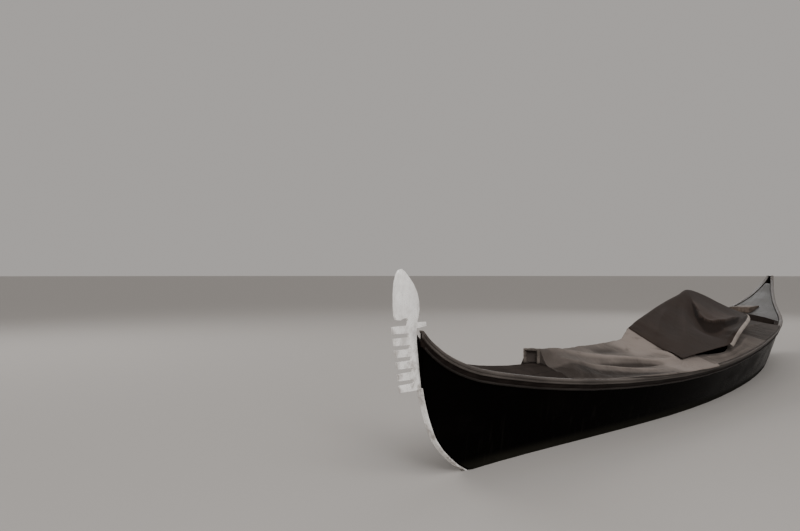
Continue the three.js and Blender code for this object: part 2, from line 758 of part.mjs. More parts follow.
add("side_flap", cloth(flapRows, CLOTH), "canvas");

// Prop under the fore cover's front: a low trestle that stands on the foredeck
const PROP_FROM = 1606;
const PROP_TO = 1632;
const PROP_HALF = 64;
const PROP_BAR = 14;
const PROP_Z = 728;
const propFoot = Math.max(deckTop(PROP_FROM, 0, FORE_CROWN), deckTop(PROP_TO, 0, FORE_CROWN)) + GAP;
const propOutline = [
  [PROP_HALF, propFoot],
  [PROP_HALF, PROP_Z],
  [-PROP_HALF, PROP_Z],
  [-PROP_HALF, propFoot],
  [-PROP_HALF + PROP_BAR, propFoot],
  [-PROP_HALF + PROP_BAR, PROP_Z - PROP_BAR],
  [PROP_HALF - PROP_BAR, PROP_Z - PROP_BAR],
  [PROP_HALF - PROP_BAR, propFoot],
];
add("cover_prop", loft([PROP_FROM, PROP_TO].map((s) => propOutline.map(([y, z]) => [BOW_X - s, y, z]))), "floor");

// Tent cover over the seat. Each row: port hem, ridge and starboard hem, as [s, y, z], then the sag of its two halves
const TENT = [
  [[3650, 560, 512], [3746, 0, 790], [5200, -580, 494], 0, 0],
  [[3980, 625, 532], [4100, 0, 850], [5280, -582, 500], 8, 8],
  [[4330, 690, 552], [4600, 0, 945], [5380, -583, 508], 20, 20],
  [[4660, 745, 574], [5120, 0, 1027], [5500, -584, 516], 30, 30],
  [[4780, 765, 640], [5500, 0, 1078], [5680, -584, 526], 45, 30],
  [[4900, 785, 715], [5860, 0, 1121], [5960, -583, 546], 70, 30],
  [[5500, 735, 790], [6350, 60, 1040], [6350, -576, 572], 100, 30],
  [[6200, 600, 800], [6900, 150, 905], [6850, -552, 604], 60, 20],
  [[6900, 430, 785], [7400, 230, 794], [7260, -510, 662], 0, 0],
];
const TENT_STEPS = [0, 0.2, 0.4, 0.6, 0.8];
const tentRows = TENT.map(([port, ridge, starboard, portSag, starboardSag]) => {
  const half = (from, to, droop) => (t) => {
    const [s, y, z] = from.map((v, k) => v * (1 - t) + to[k] * t);
    return [BOW_X - s, y, z - droop * 4 * t * (1 - t)];
  };
  return [...TENT_STEPS.map(half(port, ridge, portSag)), ...[...TENT_STEPS, 1].map(half(ridge, starboard, starboardSag))];
});
add("tent_cover", cloth(tentRows, CLOTH), "tent");

export default group;
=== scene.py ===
"""Looks of the gondola, laid up afloat under its covers.

Metres, +X forward, +Y to port, +Z up, and z = 0 is the waterline. The covers are worked out in millimetres,
with stations s measured aft from BOW_X, as in the CAD's tables, and turned into metres at the end.
"""

import math

import bmesh
import bpy
import numpy as np
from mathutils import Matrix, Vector


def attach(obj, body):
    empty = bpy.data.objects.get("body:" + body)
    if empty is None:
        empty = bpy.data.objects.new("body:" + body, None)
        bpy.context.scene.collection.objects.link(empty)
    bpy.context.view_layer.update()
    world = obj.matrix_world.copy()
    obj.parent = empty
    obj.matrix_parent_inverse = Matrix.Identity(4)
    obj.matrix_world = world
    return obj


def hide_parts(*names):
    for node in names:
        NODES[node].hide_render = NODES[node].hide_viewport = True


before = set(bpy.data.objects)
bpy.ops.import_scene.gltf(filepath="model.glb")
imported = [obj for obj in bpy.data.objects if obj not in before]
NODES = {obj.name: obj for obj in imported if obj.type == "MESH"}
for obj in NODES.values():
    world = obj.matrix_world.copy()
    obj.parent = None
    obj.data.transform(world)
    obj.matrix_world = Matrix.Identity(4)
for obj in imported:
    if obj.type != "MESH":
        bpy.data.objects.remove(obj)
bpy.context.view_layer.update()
MM = 0.001

# Camera: the photo's viewpoint, found from the sheer line, in metres
CAMERA_AT = (9.120, 2.636, 1.308)
CAMERA_TOWARDS = (-0.8049, -0.5934, 0.0)
FOCAL_PIXELS = 753.7
PHOTO_WIDTH = 800
SENSOR = 36.0
HORIZON_SHIFT = 0.010  # the horizon's height over the picture's middle, as a share of its width
CAMERA_REACH = 900.0

# Stage
SKY = (0.60, 0.57, 0.545)
SKY_STRENGTH = 0.72
FLOOR_TONE = (0.305, 0.288, 0.272)
FLOOR_ROUGHNESS = 0.9
FLOOR_GLOSS = 0.1
FLOOR_REACH = 400.0
FLOOR_IN_PLANK = 0.007  # how far inside the planking's outer skin the floor ends
SLICES = 48  # of the hull's length, for the floor's inner edge
SUN_FROM = (7.5, 6.5, 9.0)
SUN_STRENGTH = 1.75
SUN_ANGLE = math.radians(50)
# Columns: name, place, size, power, what it looks at
LAMPS = [
    ("key", (8.5, 7.5, 8.5), 6.0, 260.0, (1.5, 0, 0.4)),
    ("bow", (11.0, 6.5, 5.0), 3.0, 520.0, (5.5, 0, 1.3)),
    ("fill", (4.0, -12.0, 9.0), 9.0, 900.0, (0, 0, 0.3)),
    ("rim", (-13.0, -3.0, 9.0), 9.0, 600.0, (-1, 0, 0.5)),
]


def add(name, data):
    """A new object in the scene."""
    thing = bpy.data.objects.new(name, data)
    bpy.context.scene.collection.objects.link(thing)
    return thing


def put(node, **values):
    """Sets inputs of a shader node. An underscore in a name stands for a space."""
    for socket, value in values.items():
        node.inputs[socket.replace("_", " ")].default_value = value


def make_camera():
    """The camera at the photo's viewpoint, level, its picture shifted to the photo's horizon."""
    data = bpy.data.cameras.new("camera")
    data.sensor_width = SENSOR
    data.lens = FOCAL_PIXELS / PHOTO_WIDTH * SENSOR
    data.shift_y = HORIZON_SHIFT
    data.clip_end = CAMERA_REACH
    eye = add("camera", data)
    eye.location = CAMERA_AT
    eye.rotation_euler = Vector(CAMERA_TOWARDS).to_track_quat("-Z", "Y").to_euler()
    bpy.context.scene.camera = eye


def triangles(name):
    """The corners of a CAD node's triangles."""
    mesh = NODES[name].data
    mesh.calc_loop_triangles()
    place = np.zeros(3 * len(mesh.vertices), np.float32)
    mesh.vertices.foreach_get("co", place)
    index = np.zeros(3 * len(mesh.loop_triangles), np.int32)
    mesh.loop_triangles.foreach_get("vertices", index)
    return place.reshape(-1, 3)[index.reshape(-1, 3)]


def crossings(corners, axis, level=0.0):
    """The points where the sides of triangles cross the plane at a level on one axis: start + (end - start) *
    share, with share = start's height over the plane / (start's less end's)."""
    start, end = corners, np.roll(corners, -1, axis=1)
    over, under = start[..., axis] - level, end[..., axis] - level
    crosses = over * under < 0
    start, end, over, under = start[crosses], end[crosses], over[crosses], under[crosses]
    return start + (end - start) * (over / (over - under))[:, None]


def waterline():
    """The hull's outline at z = 0: in each slice of x, where the triangles of planking and posts cross z = 0
    furthest to port and to starboard, drawn in by FLOOR_IN_PLANK."""
    skin = [name for name in NODES if "planking" in name or name in ("stem_post", "stern_post")]
    x, y = np.concatenate([crossings(triangles(name), 2) for name in skin])[:, :2].T
    middle = 0.5 * (np.interp(x, *upper_edge(x, y)) - np.interp(x, *upper_edge(x, -y)))
    port = upper_edge(x[y > middle], y[y > middle])
    starboard = upper_edge(x[y < middle], -y[y < middle])
    sides = (starboard[0], FLOOR_IN_PLANK - starboard[1]), (port[0], port[1] - FLOOR_IN_PLANK)
    return np.concatenate([np.stack(side, -1) for side in sides])


def upper_edge(x, y):
    """The point with the greatest y in each slice of x that holds any, from the lowest x up."""
    cell = np.minimum(((x - x.min()) / (np.ptp(x) + 1e-9) * SLICES).astype(int), SLICES - 1)
    order = np.lexsort((y, cell))
    last = np.append(np.diff(cell[order]) > 0, True)
    return x[order][last], y[order][last]


def make_light():
    """A pale, even sky, wide lamps, and a sun as soft as one behind thin cloud."""
    world = bpy.data.worlds.new("sky")
    world.use_nodes = True
    put(world.node_tree.nodes["Background"], Color=(*SKY, 1), Strength=SKY_STRENGTH)
    bpy.context.scene.world = world
    for name, at, size, power, aim in LAMPS:
        data = bpy.data.lights.new(name, "AREA")
        data.shape = "DISK"
        data.size = size
        data.energy = power
        lamp = add(name, data)
        lamp.location = at
        lamp.rotation_euler = (Vector(aim) - Vector(at)).to_track_quat("-Z", "Y").to_euler()

    data = bpy.data.lights.new("sun", "SUN")
    data.energy = SUN_STRENGTH
    data.angle = SUN_ANGLE
    sun = add("sun", data)
    sun.rotation_euler = (-Vector(SUN_FROM)).to_track_quat("-Z", "Y").to_euler()


def make_floor():
    """A pale floor at the waterline, open where the hull floats: a ring from its outline to a far circle."""
    inner = waterline()
    angle = np.arctan2(inner[:, 1], inner[:, 0])
    inner, angle = inner[np.argsort(angle)], np.sort(angle)
    outer = FLOOR_REACH * np.stack((np.cos(angle), np.sin(angle)), -1)
    count = len(inner)
    ring = np.concatenate((np.concatenate((inner, outer)), np.zeros((2 * count, 1))), 1)
    n = np.arange(count)
    after = (n + 1) % count
    mesh = bpy.data.meshes.new("floor")
    mesh.from_pydata(ring.tolist(), [], np.stack((n, n + count, after + count, after), -1).tolist())
    paint = Finish("floor", Roughness=FLOOR_ROUGHNESS, Specular_IOR_Level=FLOOR_GLOSS)
    put(paint.shader, Base_Color=(*FLOOR_TONE, 1))
    mesh.materials.append(paint.material)
    floor = add("floor", mesh)


class Finish:
    """A procedural material: one shader, and short ways to add the nodes that feed it."""

    def __init__(self, name, **sockets):
        self.material = bpy.data.materials.new(name)
        self.material.use_nodes = True
        self.nodes = self.material.node_tree.nodes
        self.links = self.material.node_tree.links
        self.shader = self.nodes["Principled BSDF"]
        put(self.shader, **sockets)
        self.place = self.nodes.new("ShaderNodeTexCoord").outputs["Object"]
        self.relief = None

    def feed(self, socket, value):
        """Links a node's output to a socket, or gives the socket a plain value."""
        if hasattr(value, "is_output"):
            self.links.new(value, socket)
        else:
            socket.default_value = value

    def stretched(self, scale, source=None):
        """Object coordinates, or another vector, scaled by a number for each axis."""
        node = self.nodes.new("ShaderNodeMapping")
        self.links.new(source or self.place, node.inputs["Vector"])
        put(node, Scale=scale)
        return node.outputs["Vector"]

    def noise(self, scale, detail=4.0, rough=0.55, stretch=(1, 1, 1), source=None, warp=0.0):
        """Cloudy pattern from 0 to 1. A stretch under 1 on an axis draws it out along that axis."""
        node = self.nodes.new("ShaderNodeTexNoise")
        self.links.new(self.stretched(stretch, source), node.inputs["Vector"])
        put(node, Scale=scale, Detail=detail, Roughness=rough, Distortion=warp)
        return node.outputs["Fac"]

    def math(self, operation, a, b=0.0):
        node = self.nodes.new("ShaderNodeMath")
        node.operation = operation
        self.feed(node.inputs[0], a)
        self.feed(node.inputs[1], b)
        return node.outputs[0]

    def times(self, a, b):
        return self.math("MULTIPLY", a, b)

    def span(self, value, low, high, to_low=0.0, to_high=1.0):
        """value taken from the range low..high to another range, smoothly and with ends that hold."""
        node = self.nodes.new("ShaderNodeMapRange")
        node.interpolation_type = "SMOOTHSTEP"
        self.feed(node.inputs["Value"], value)
        put(node, From_Min=low, From_Max=high, To_Min=to_low, To_Max=to_high)
        return node.outputs["Result"]

    def ridge(self, value, low, high, soft):
        """1 where value lies between low and high, 0 elsewhere, with edges that take soft to rise."""
        rise, fall = self.span(value, low, low + soft), self.span(value, high - soft, high, 1, 0)
        return self.times(rise, fall)

    def mix(self, factor, a, b):
        """Color a where factor is 0 and b where it is 1."""
        node = self.nodes.new("ShaderNodeMix")
        node.data_type = "RGBA"
        self.feed(node.inputs["Factor"], factor)
        colors = [socket for socket in node.inputs if socket.type == "RGBA"]
        for socket, value in zip(colors, (a, b)):
            self.feed(socket, value if hasattr(value, "is_output") else (*value, 1))
        return [out for out in node.outputs if out.type == "RGBA"][0]

    def axis(self, index, source=None):
        node = self.nodes.new("ShaderNodeSeparateXYZ")
        self.links.new(source or self.place, node.inputs[0])
        return node.outputs[index]

    def mark(self, name):
        """A number stored on the mesh's points."""
        node = self.nodes.new("ShaderNodeAttribute")
        node.attribute_name = name
        return node.outputs["Fac"]

    def cloth_place(self):
        """The sheet's own flat coordinates, in metres."""
        node = self.nodes.new("ShaderNodeUVMap")
        node.uv_map = "flat"
        return node.outputs["UV"]

    def color(self, value):
        self.feed(self.shader.inputs["Base Color"], value)

    def rough(self, value):
        self.feed(self.shader.inputs["Roughness"], value)

    def bump(self, height, distance, strength=1.0):
        """Adds relief: a height of 0 to 1 stands for the given distance. Each is laid on the last."""
        node = self.nodes.new("ShaderNodeBump")
        put(node, Strength=strength, Distance=distance)
        self.links.new(height, node.inputs["Height"])
        if self.relief is not None:
            self.links.new(self.relief, node.inputs["Normal"])
        self.relief = node.outputs["Normal"]
        self.links.new(self.relief, self.shader.inputs["Normal"])


# Heights over the water, in metres, between which each fades out: the wet band, streaks down the planking
WET_BAND = (0.045, 0.115)
STREAKS_FADE = (0.1, 0.5)


def hull_lacquer():
    """Black lacquer: long shallow waves along the planks, dust, runs, and a dull band by the water."""
    f = Finish("hull_lacquer", Specular_IOR_Level=0.006)
    dust = f.noise(2.2, 6, 0.65, stretch=(0.6, 1, 1.6))
    runs = f.noise(22, 3, stretch=(1, 1, 0.05))
    height = f.axis(2)
    uneven_height = f.math("ADD", height, f.times(dust, 0.05))
    wet = f.span(uneven_height, *WET_BAND, 1.0, 0.0)
    tone = f.mix(f.span(dust, 0.5, 0.75, 0, 0.5), (0.0010, 0.0008, 0.0007), (0.0030, 0.0025, 0.0022))
    streaks = f.times(f.span(runs, 0.55, 0.72, 0, 0.5), f.span(height, *STREAKS_FADE, 1, 0))
    tone = f.mix(streaks, tone, (0.0055, 0.0046, 0.0040))
    slime = f.times(wet, f.span(dust, 0.3, 0.7, 0.35, 0.9))
    f.color(f.mix(slime, tone, (0.014, 0.0130, 0.0098)))
    f.rough(f.math("ADD", f.span(dust, 0.3, 0.8, 0.2, 0.36), f.times(wet, 0.25)))
    f.bump(f.noise(1.0, 3, stretch=(0.5, 1.6, 9.0)), 0.010, 0.35)
    f.bump(f.noise(40, 3, stretch=(0.06, 1, 1)), 0.0006, 0.5)
    f.bump(f.times(wet, f.noise(90, 4)), 0.002, 0.6)
    return f.material


def strake_varnish():
    """Dark varnish over the strake's long grain, rubbed thin in places."""
    f = Finish("strake_lacquer", Specular_IOR_Level=0.045)
    grain = f.noise(30, 5, 0.6, stretch=(0.05, 1, 1), warp=0.4)
    worn = f.noise(3.0, 5, 0.6, stretch=(0.5, 1, 1))
    tone = f.mix(f.span(grain, 0.35, 0.7), (0.0052, 0.0035, 0.0029), (0.0112, 0.0079, 0.0066))
    f.color(f.mix(f.span(worn, 0.58, 0.74, 0, 0.6), tone, (0.034, 0.027, 0.0225)))
    f.rough(f.span(worn, 0.3, 0.75, 0.3, 0.52))
    f.bump(grain, 0.0009, 0.6)
    return f.material


def moulding_with_painted_reflection(name, dark, pale):
    """Pale tone on a half-round, uneven with handling, chipped to dark wood along its edge. The pale tone is
    painted reflection: it stands for the sky's light on the mouldings.
    """
    f = Finish(name, Specular_IOR_Level=0.12)
    grime = f.noise(5.0, 6, 0.62, stretch=(0.35, 1, 1))
    chips = f.span(f.noise(34, 5, 0.7, stretch=(0.4, 1, 1)), 0.64, 0.70)
    tone = f.mix(f.span(grime, 0.35, 0.7), dark, pale)
    f.color(f.mix(chips, tone, (0.03, 0.022, 0.018)))
    f.rough(f.span(grime, 0.3, 0.7, 0.42, 0.66))
    f.bump(f.math("SUBTRACT", f.noise(60, 4), chips), 0.0012, 0.5)
    return f.material


DECK_PLANK = 0.088  # width of a deck plank, in metres
BOARD = 0.095  # width of a floor or platform board


def plank_seams(f, pitch, share):
    """1 on the seams between planks that run fore and aft, one pitch wide; share of it is seam."""
    across = f.math("FRACT", f.times(f.axis(1), 1 / pitch))
    return f.math("MAXIMUM", f.span(across, 0, share, 1, 0), f.span(across, 1 - share, 1, 0, 1))


def deck_lacquer(name, gloss, dull, dark, pale):
    """Black lacquer on deck planks that run fore and aft, dusty, with hairline seams and scratches. How grey
    it is comes from the tones given, and for the foredeck they also carry painted reflection of the sky.
    """
    f = Finish(name, Specular_IOR_Level=gloss)
    scratched = tuple(1.5 * c for c in pale)
    dust = f.noise(2.6, 6, 0.65)
    scratch = f.noise(70, 3, stretch=(0.12, 1.4, 1), warp=0.8)
    seam = plank_seams(f, DECK_PLANK, 0.03)
    tone = f.mix(f.span(dust, 0.4, 0.75), dark, pale)
    tone = f.mix(f.span(scratch, 0.66, 0.72, 0, 0.6), tone, scratched)
    f.color(f.mix(f.times(seam, 0.8), tone, (0.003, 0.0027, 0.0025)))
    f.rough(f.span(dust, 0.3, 0.75, dull, dull + 0.16))
    f.bump(f.noise(34, 4, stretch=(0.05, 1, 1)), 0.0006, 0.5)
    f.bump(f.math("SUBTRACT", 1.0, seam), 0.0015, 0.8)
    return f.material


def boards(name, dark, pale):
    """Bare boards walked on for years: grey-brown, open grain, seams between them, patches of dirt."""
    f = Finish(name, Specular_IOR_Level=0.2)
    grain = f.noise(26, 6, 0.62, stretch=(0.07, 1, 1), warp=0.6)
    dirt = f.noise(4.0, 6, 0.65)
    seam = plank_seams(f, BOARD, 0.035)
    tone = f.mix(f.span(grain, 0.3, 0.7), dark, pale)
    tone = f.mix(f.span(dirt, 0.5, 0.75, 0, 0.7), tone, (0.026, 0.021, 0.018))
    f.color(f.mix(f.times(seam, 0.85), tone, (0.006, 0.005, 0.0045)))
    f.rough(f.span(dirt, 0.3, 0.7, 0.58, 0.8))
    f.bump(grain, 0.0012, 0.7)
    f.bump(f.math("SUBTRACT", 1.0, seam), 0.002, 0.8)
    return f.material


# Heights over the water, in metres, between which the iron is painted brighter upwards, a painted highlight
# at its crest, and rust runs get fainter
IRON_PAINTED_HIGHLIGHT = (0.6, 1.25)
RUST_FADES = (1.3, 0.7)


def bright_iron():
    """Polished iron, brushed up and down, with blots of tarnish, a few pits and runs of rust. Its near-white,
    mostly diffuse tone is painted reflection of a bright sky, and tarnish that grows downwards is painted
    shade, which leaves a painted highlight at the crest."""
    f = Finish("bright_iron", Metallic=0.3, Specular_IOR_Level=0.7)
    tarnish = f.noise(11, 6, 0.62)
    brushed = f.noise(60, 4, 0.6, stretch=(1, 1, 0.05))
    runs = f.noise(34, 3, stretch=(1, 1, 0.07))
    pits = f.span(f.noise(120, 2, 0.5), 0.70, 0.76)
    height = f.axis(2)
    # More tarnish lower down: painted shade under a painted highlight at the crest
    painted_shade_downwards = f.span(height, *IRON_PAINTED_HIGHLIGHT, 1.0, 0.35)
    tarnish_and_painted_shade = f.times(painted_shade_downwards, f.span(tarnish, 0.42, 0.66, 0.08, 0.8))
    # Near-white where untarnished: painted reflection of a bright sky
    tone = f.mix(tarnish_and_painted_shade, (0.985, 0.965, 0.935), (0.245, 0.21, 0.185))
    tone = f.mix(f.span(brushed, 0.5, 0.72, 0, 0.3), tone, (0.56, 0.52, 0.485))
    rust = f.times(f.span(runs, 0.6, 0.72, 0, 0.4), f.span(height, *RUST_FADES))
    tone = f.mix(rust, tone, (0.24, 0.17, 0.13))
    f.color(f.mix(f.times(pits, 0.8), tone, (0.2, 0.15, 0.12)))
    f.rough(f.span(tarnish, 0.3, 0.75, 0.22, 0.5))
    f.bump(f.noise(160, 3, stretch=(1, 1, 0.06)), 0.0003, 0.5)
    f.bump(f.math("SUBTRACT", 1.0, pits), 0.0006, 0.6)
    return f.material


BREADTH, STITCH = 0.92, 0.009  # width of one sewn breadth of cloth, and pitch of its stitches, in metres
# As shares of a breadth: where the sheet's first row lies, the seam's lap, and the rows of stitches in it
FIRST_ROW, LAP, STITCH_ROWS = 0.37, (0.0, 0.034), ((0.006, 0.0105), (0.024, 0.0285))
SHEEN = 0.02


def canvas(name, dark, pale, stain_and_shade, weave_pitch):
    """Woven cover: threads both ways, slubs, breadths sewn with two rows of stitches, paler on the folds'
    crests, a painted highlight, and darker in their hollows, painted shade, with rain marks, and darker where
    the darkening mark is set."""
    f = Finish(name, Specular_IOR_Level=0.06, Sheen_Weight=SHEEN, Sheen_Roughness=0.45)
    flat = f.cloth_place()
    fold, darkening = f.mark("fold"), f.mark("darkening")
    wear = f.noise(2.4, 7, 0.66)
    cloud = f.noise(7.0, 6, 0.62, warp=0.5)
    threads = [f.math("SINE", f.times(f.axis(k, flat), 2 * math.pi / weave_pitch)) for k in (0, 1)]
    breadth = f.math("FRACT", f.math("ADD", f.times(f.axis(1, flat), 1 / BREADTH), FIRST_ROW))
    seam = f.ridge(breadth, *LAP, 0.006)
    rows = f.math("MAXIMUM", *(f.ridge(breadth, *row, 0.0015) for row in STITCH_ROWS))
    wave = f.math("SINE", f.times(f.axis(0, flat), 2 * math.pi / STITCH))
    dashes = f.math("GREATER_THAN", wave, -0.2)
    stitches = f.times(rows, dashes)
    lightened = tuple(min(1.0, 1.45 * c) for c in pale)

    tone = f.mix(f.span(wear, 0.32, 0.7), dark, pale)
    # Painted highlight on the folds' crests and painted shade in their hollows, from the fold mark; on the
    # tent it also carries the pocket's painted shade and the painted highlight above its lip
    tone = f.mix(f.span(fold, 0.1, 1.0, 0, 0.75), tone, lightened)
    tone = f.mix(f.span(fold, -1.0, -0.08, 0.78, 0), tone, stain_and_shade)
    tone = f.mix(f.span(cloud, 0.56, 0.72, 0, 0.4), tone, stain_and_shade)
    # Darker where the darkening mark is set: painted shade on the fore cover's front and along its gunwale,
    # and a darker tone all over the aft cover and on part of the flap
    tone = f.mix(f.times(darkening, f.span(cloud, 0.2, 0.8, 0.72, 1.0)), tone, stain_and_shade)
    f.color(f.mix(f.times(stitches, 0.5), tone, pale))
    f.rough(f.span(wear, 0.3, 0.7, 0.8, 0.95))
    f.bump(f.noise(11, 5, 0.6), 0.004, 0.25)
    f.bump(f.noise(1.0, 3, stretch=(90, 9, 1), source=flat), 0.0006, 0.22)
    f.bump(f.math("ADD", seam, f.times(stitches, -0.5)), 0.0022, 0.7)
    f.bump(f.times(*threads), 0.0004, 0.3)
    return f.material


SMOOTH_BELOW = math.radians(24)
BEVEL_ABOVE = math.radians(40)
WELD = 0.00002


def smooth_group():
    """Node group that shades its mesh smooth, except at edges sharper than the angle given."""
    group = bpy.data.node_groups.new("smooth_by_angle", "GeometryNodeTree")
    for way in ("INPUT", "OUTPUT"):
        group.interface.new_socket("Geometry", in_out=way, socket_type="NodeSocketGeometry")
    nodes, links = group.nodes, group.links
    start, end = nodes.new("NodeGroupInput"), nodes.new("NodeGroupOutput")
    faces, edges = nodes.new("GeometryNodeSetShadeSmooth"), nodes.new("GeometryNodeSetShadeSmooth")
    faces.domain, edges.domain = "FACE", "EDGE"
    angle, gentle = nodes.new("GeometryNodeInputMeshEdgeAngle"), nodes.new("FunctionNodeCompare")
    gentle.operation = "LESS_THAN"
    gentle.inputs["B"].default_value = SMOOTH_BELOW
    links.new(start.outputs[0], faces.inputs["Geometry"])
    links.new(faces.outputs[0], edges.inputs["Geometry"])
    links.new(angle.outputs["Unsigned Angle"], gentle.inputs["A"])
    links.new(gentle.outputs[0], edges.inputs["Shade Smooth"])
    links.new(edges.outputs[0], end.inputs[0])
    return group


# Width of the rounded arrises, in metres
ARRIS = {
    "bow_iron": 0.0012, "stern_iron": 0.0012, "stem_post": 0.003, "stern_post": 0.003, "fore_coaming": 0.002,
    "aft_coaming": 0.002, "fore_thwart": 0.003, "aft_thwart": 0.003, "stern_platform": 0.003,
    "cover_prop": 0.0016, "rowlock_block": 0.004, "seat_bench": 0.006, "seat_back": 0.005,
}


def dress(material, *names):
    """Gives CAD nodes their finish, with rounded arrises where the table has them and smooth shading."""
    for name in names:
        node = NODES[name]
        node.data.materials.clear()
        node.data.materials.append(material)
        node.modifiers.new("weld", "WELD").merge_threshold = WELD
        if name in ARRIS:
            bevel = node.modifiers.new("arris", "BEVEL")
            bevel.width = ARRIS[name]
            bevel.segments = 2
            bevel.limit_method = "ANGLE"
            bevel.angle_limit = BEVEL_ABOVE
        node.modifiers.new("smooth", "NODES").node_group = SMOOTH


# Rivets of the bow iron's strap, in millimetres
RIVETS = 12  # in each of its two rows
RIVET_OUT = 13.0  # off the middle line, between the blade and the strap's edge
RIVET_RADIUS, RIVET_HIGH, RIVET_SUNK = 4.6, 2.4, 1.5
RIVET_ENDS = (0.04, 0.95)  # the first and the last, as shares of the strap's length
RIVET_SIDES = 16


def strap_face():
    """The strap's outer face beside the blade, from its foot up, as (x, z) in millimetres: where triangles of
    the bow iron that face forward and down cross the plane of the port row of rivets."""
    corners = triangles("bow_iron")
    out = np.cross(corners[:, 1] - corners[:, 0], corners[:, 2] - corners[:, 0])
    face = crossings(corners[(out[:, 0] > 0) & (out[:, 2] < 0)], 1, RIVET_OUT * MM)
    return np.unique(np.round(face[:, [0, 2]] / MM, 1), axis=0)


def strap_rivets():
    """Two rows of rivet heads on the strap, evenly spaced along its face. A head is a cap of height
    high * (1 - (r / radius)^2), and its skirt goes a little way into the iron."""
    face = strap_face()
    run = np.diff(face, axis=0)
    long = np.concatenate(([0], np.cumsum(np.hypot(*run.T))))
    at = np.linspace(*RIVET_ENDS, RIVETS) * long[-1]
    k = np.searchsorted(long, at) - 1
    along = run[k] / np.hypot(*run[k].T)[:, None]
    foot = face[k] + along * (at - long[k])[:, None]
    along = np.insert(along, 1, 0, axis=1)
    foot = np.insert(foot, 1, 0, axis=1)
    across = np.array([0, 1.0, 0])
    out = np.cross(across, along)
    out *= np.sign(out[:, :1])
    share = np.array([0.0, 0.25, 0.5, 0.72, 0.88, 1.0, 1.0])  # of the radius, from the crown down
    high = np.append(RIVET_HIGH * (1 - share[:-1] ** 2), -RIVET_SUNK)
    turn = np.linspace(0, 2 * np.pi, RIVET_SIDES, endpoint=False)
    disc = (
        np.cos(turn)[None, None, :, None] * along[:, None, None] + np.sin(turn)[None, None, :, None] * across
    ) * (RIVET_RADIUS * share)[None, :, None, None]
    heads = foot[:, None, None] + disc + out[:, None, None] * high[None, :, None, None]
    place = np.concatenate((heads + across * RIVET_OUT, heads - across * RIVET_OUT)).reshape(-1, 3) * MM
    rings, around = len(share), len(turn)
    i, j = np.meshgrid(np.arange(rings - 1), np.arange(around), indexing="ij")
    after = (j + 1) % around
    here, next_ring = i * around, (i + 1) * around
    quads = np.stack((here + j, next_ring + j, next_ring + after, here + after), -1)
    faces = (np.arange(2 * RIVETS)[:, None, None] * rings * around + quads.reshape(-1, 4)).reshape(-1, 4)
    mesh = bpy.data.meshes.new("strap_rivets")
    mesh.from_pydata(place.tolist(), [], faces.tolist())
    trim = bmesh.new()
    trim.from_mesh(mesh)
    bmesh.ops.remove_doubles(trim, verts=trim.verts, dist=WELD)
    bmesh.ops.holes_fill(trim, edges=trim.edges, sides=around)
    bmesh.ops.recalc_face_normals(trim, faces=trim.faces)
    trim.to_mesh(mesh)
    trim.free()
    mesh.polygons.foreach_set("use_smooth", np.ones(len(mesh.polygons), bool))
    mesh.materials.append(IRON)
    piece = add("strap_rivets", mesh)
    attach(piece, "root")


# Sheets

BOW_X = 5450  # stations s are measured aft from here, in millimetres, as in the CAD's tables
STARBOARD = 0.711
# The gunwale. Columns: s, height of the sheer, half-breadth to port
RAIL = [
    (1000, 603, 170), (1400, 540, 262), (2000, 474, 400), (2700, 430, 545), (3500, 408, 680),
    (4400, 420, 785), (5300, 462, 829), (6200, 511, 820), (7000, 560, 775), (7800, 611, 690),
    (8500, 664, 572),
]
# Way of a hem over the top moulding: out from the planking, up from the sheer
HEM_PATH = np.array([(-8, 20), (28, 18), (38, 6), (40, -34)], float)
HEM_REACH = np.concatenate(([0], np.cumsum(np.hypot(*np.diff(HEM_PATH, axis=0).T))))
PROP_FLAT, PROP_FADES = 60, (1700, 2100)  # half-width that the prop's bar holds flat, and where that ends
# Points across a cover: in each hem, and from gunwale to ridge on each side
HEM_STEPS, PORT_STEPS, STARBOARD_STEPS = 8, 58, 40
HEM_SHARES = np.linspace(1, 0.08, HEM_STEPS)[None, :]  # of its hang, from its edge up
CLOTH_THICK = 0.0016  # in metres
# Painted light on the folds: a fold this high gets the full painted highlight, one this deep the full painted
# shade
PAINTED_LIGHT_FULL_AT = {"fore": 24, "aft": 22, "flap": 20, "tent": 34}  # height of a fold whose mark is 1
MOST_PAINTED_LIGHT = 1.2


def through(table, at):
    """The table's columns at the places given: a cubic between two rows, each row's slope that of the chord
    between the rows beside it."""
    table = np.asarray(table, float)
    at = np.asarray(at, float)
    x, y = table[:, 0], table[:, 1:]
    n = np.arange(len(x))
    before, after = np.maximum(n - 1, 0), np.minimum(n + 1, len(x) - 1)
    slope = (y[after] - y[before]) / (x[after] - x[before])[:, None]
    i = np.clip(np.searchsorted(x, at) - 1, 0, len(x) - 2)
    run = (x[i + 1] - x[i])[:, None]
    t = (at - x[i])[:, None] / run
    low = (2 * t**3 - 3 * t**2 + 1) * y[i] + (t**3 - 2 * t**2 + t) * slope[i] * run
    return low + (3 * t**2 - 2 * t**3) * y[i + 1] + (t**3 - t**2) * slope[i + 1] * run


def step(value, low, high):
    """0 below low, 1 above high, a smooth step between."""
    t = np.clip((value - low) / (high - low), 0, 1)
    return t * t * (3 - 2 * t)


def ripples(points, size, seed, count=14):
    """Even, repeatable unevenness from about -1 to 1: the sum of sine waves about size long, in directions
    drawn with the seed."""
    rng = np.random.default_rng(seed)
    ways = rng.normal(size=(count, points.shape[-1]))
    ways *= (2 * np.pi / size * rng.uniform(0.6, 1.5, count) / np.linalg.norm(ways, axis=1))[:, None]
    waves = np.sin(points @ ways.T + rng.uniform(0, 2 * np.pi, count))
    return waves.sum(-1) / math.sqrt(2 * count) / 1.4


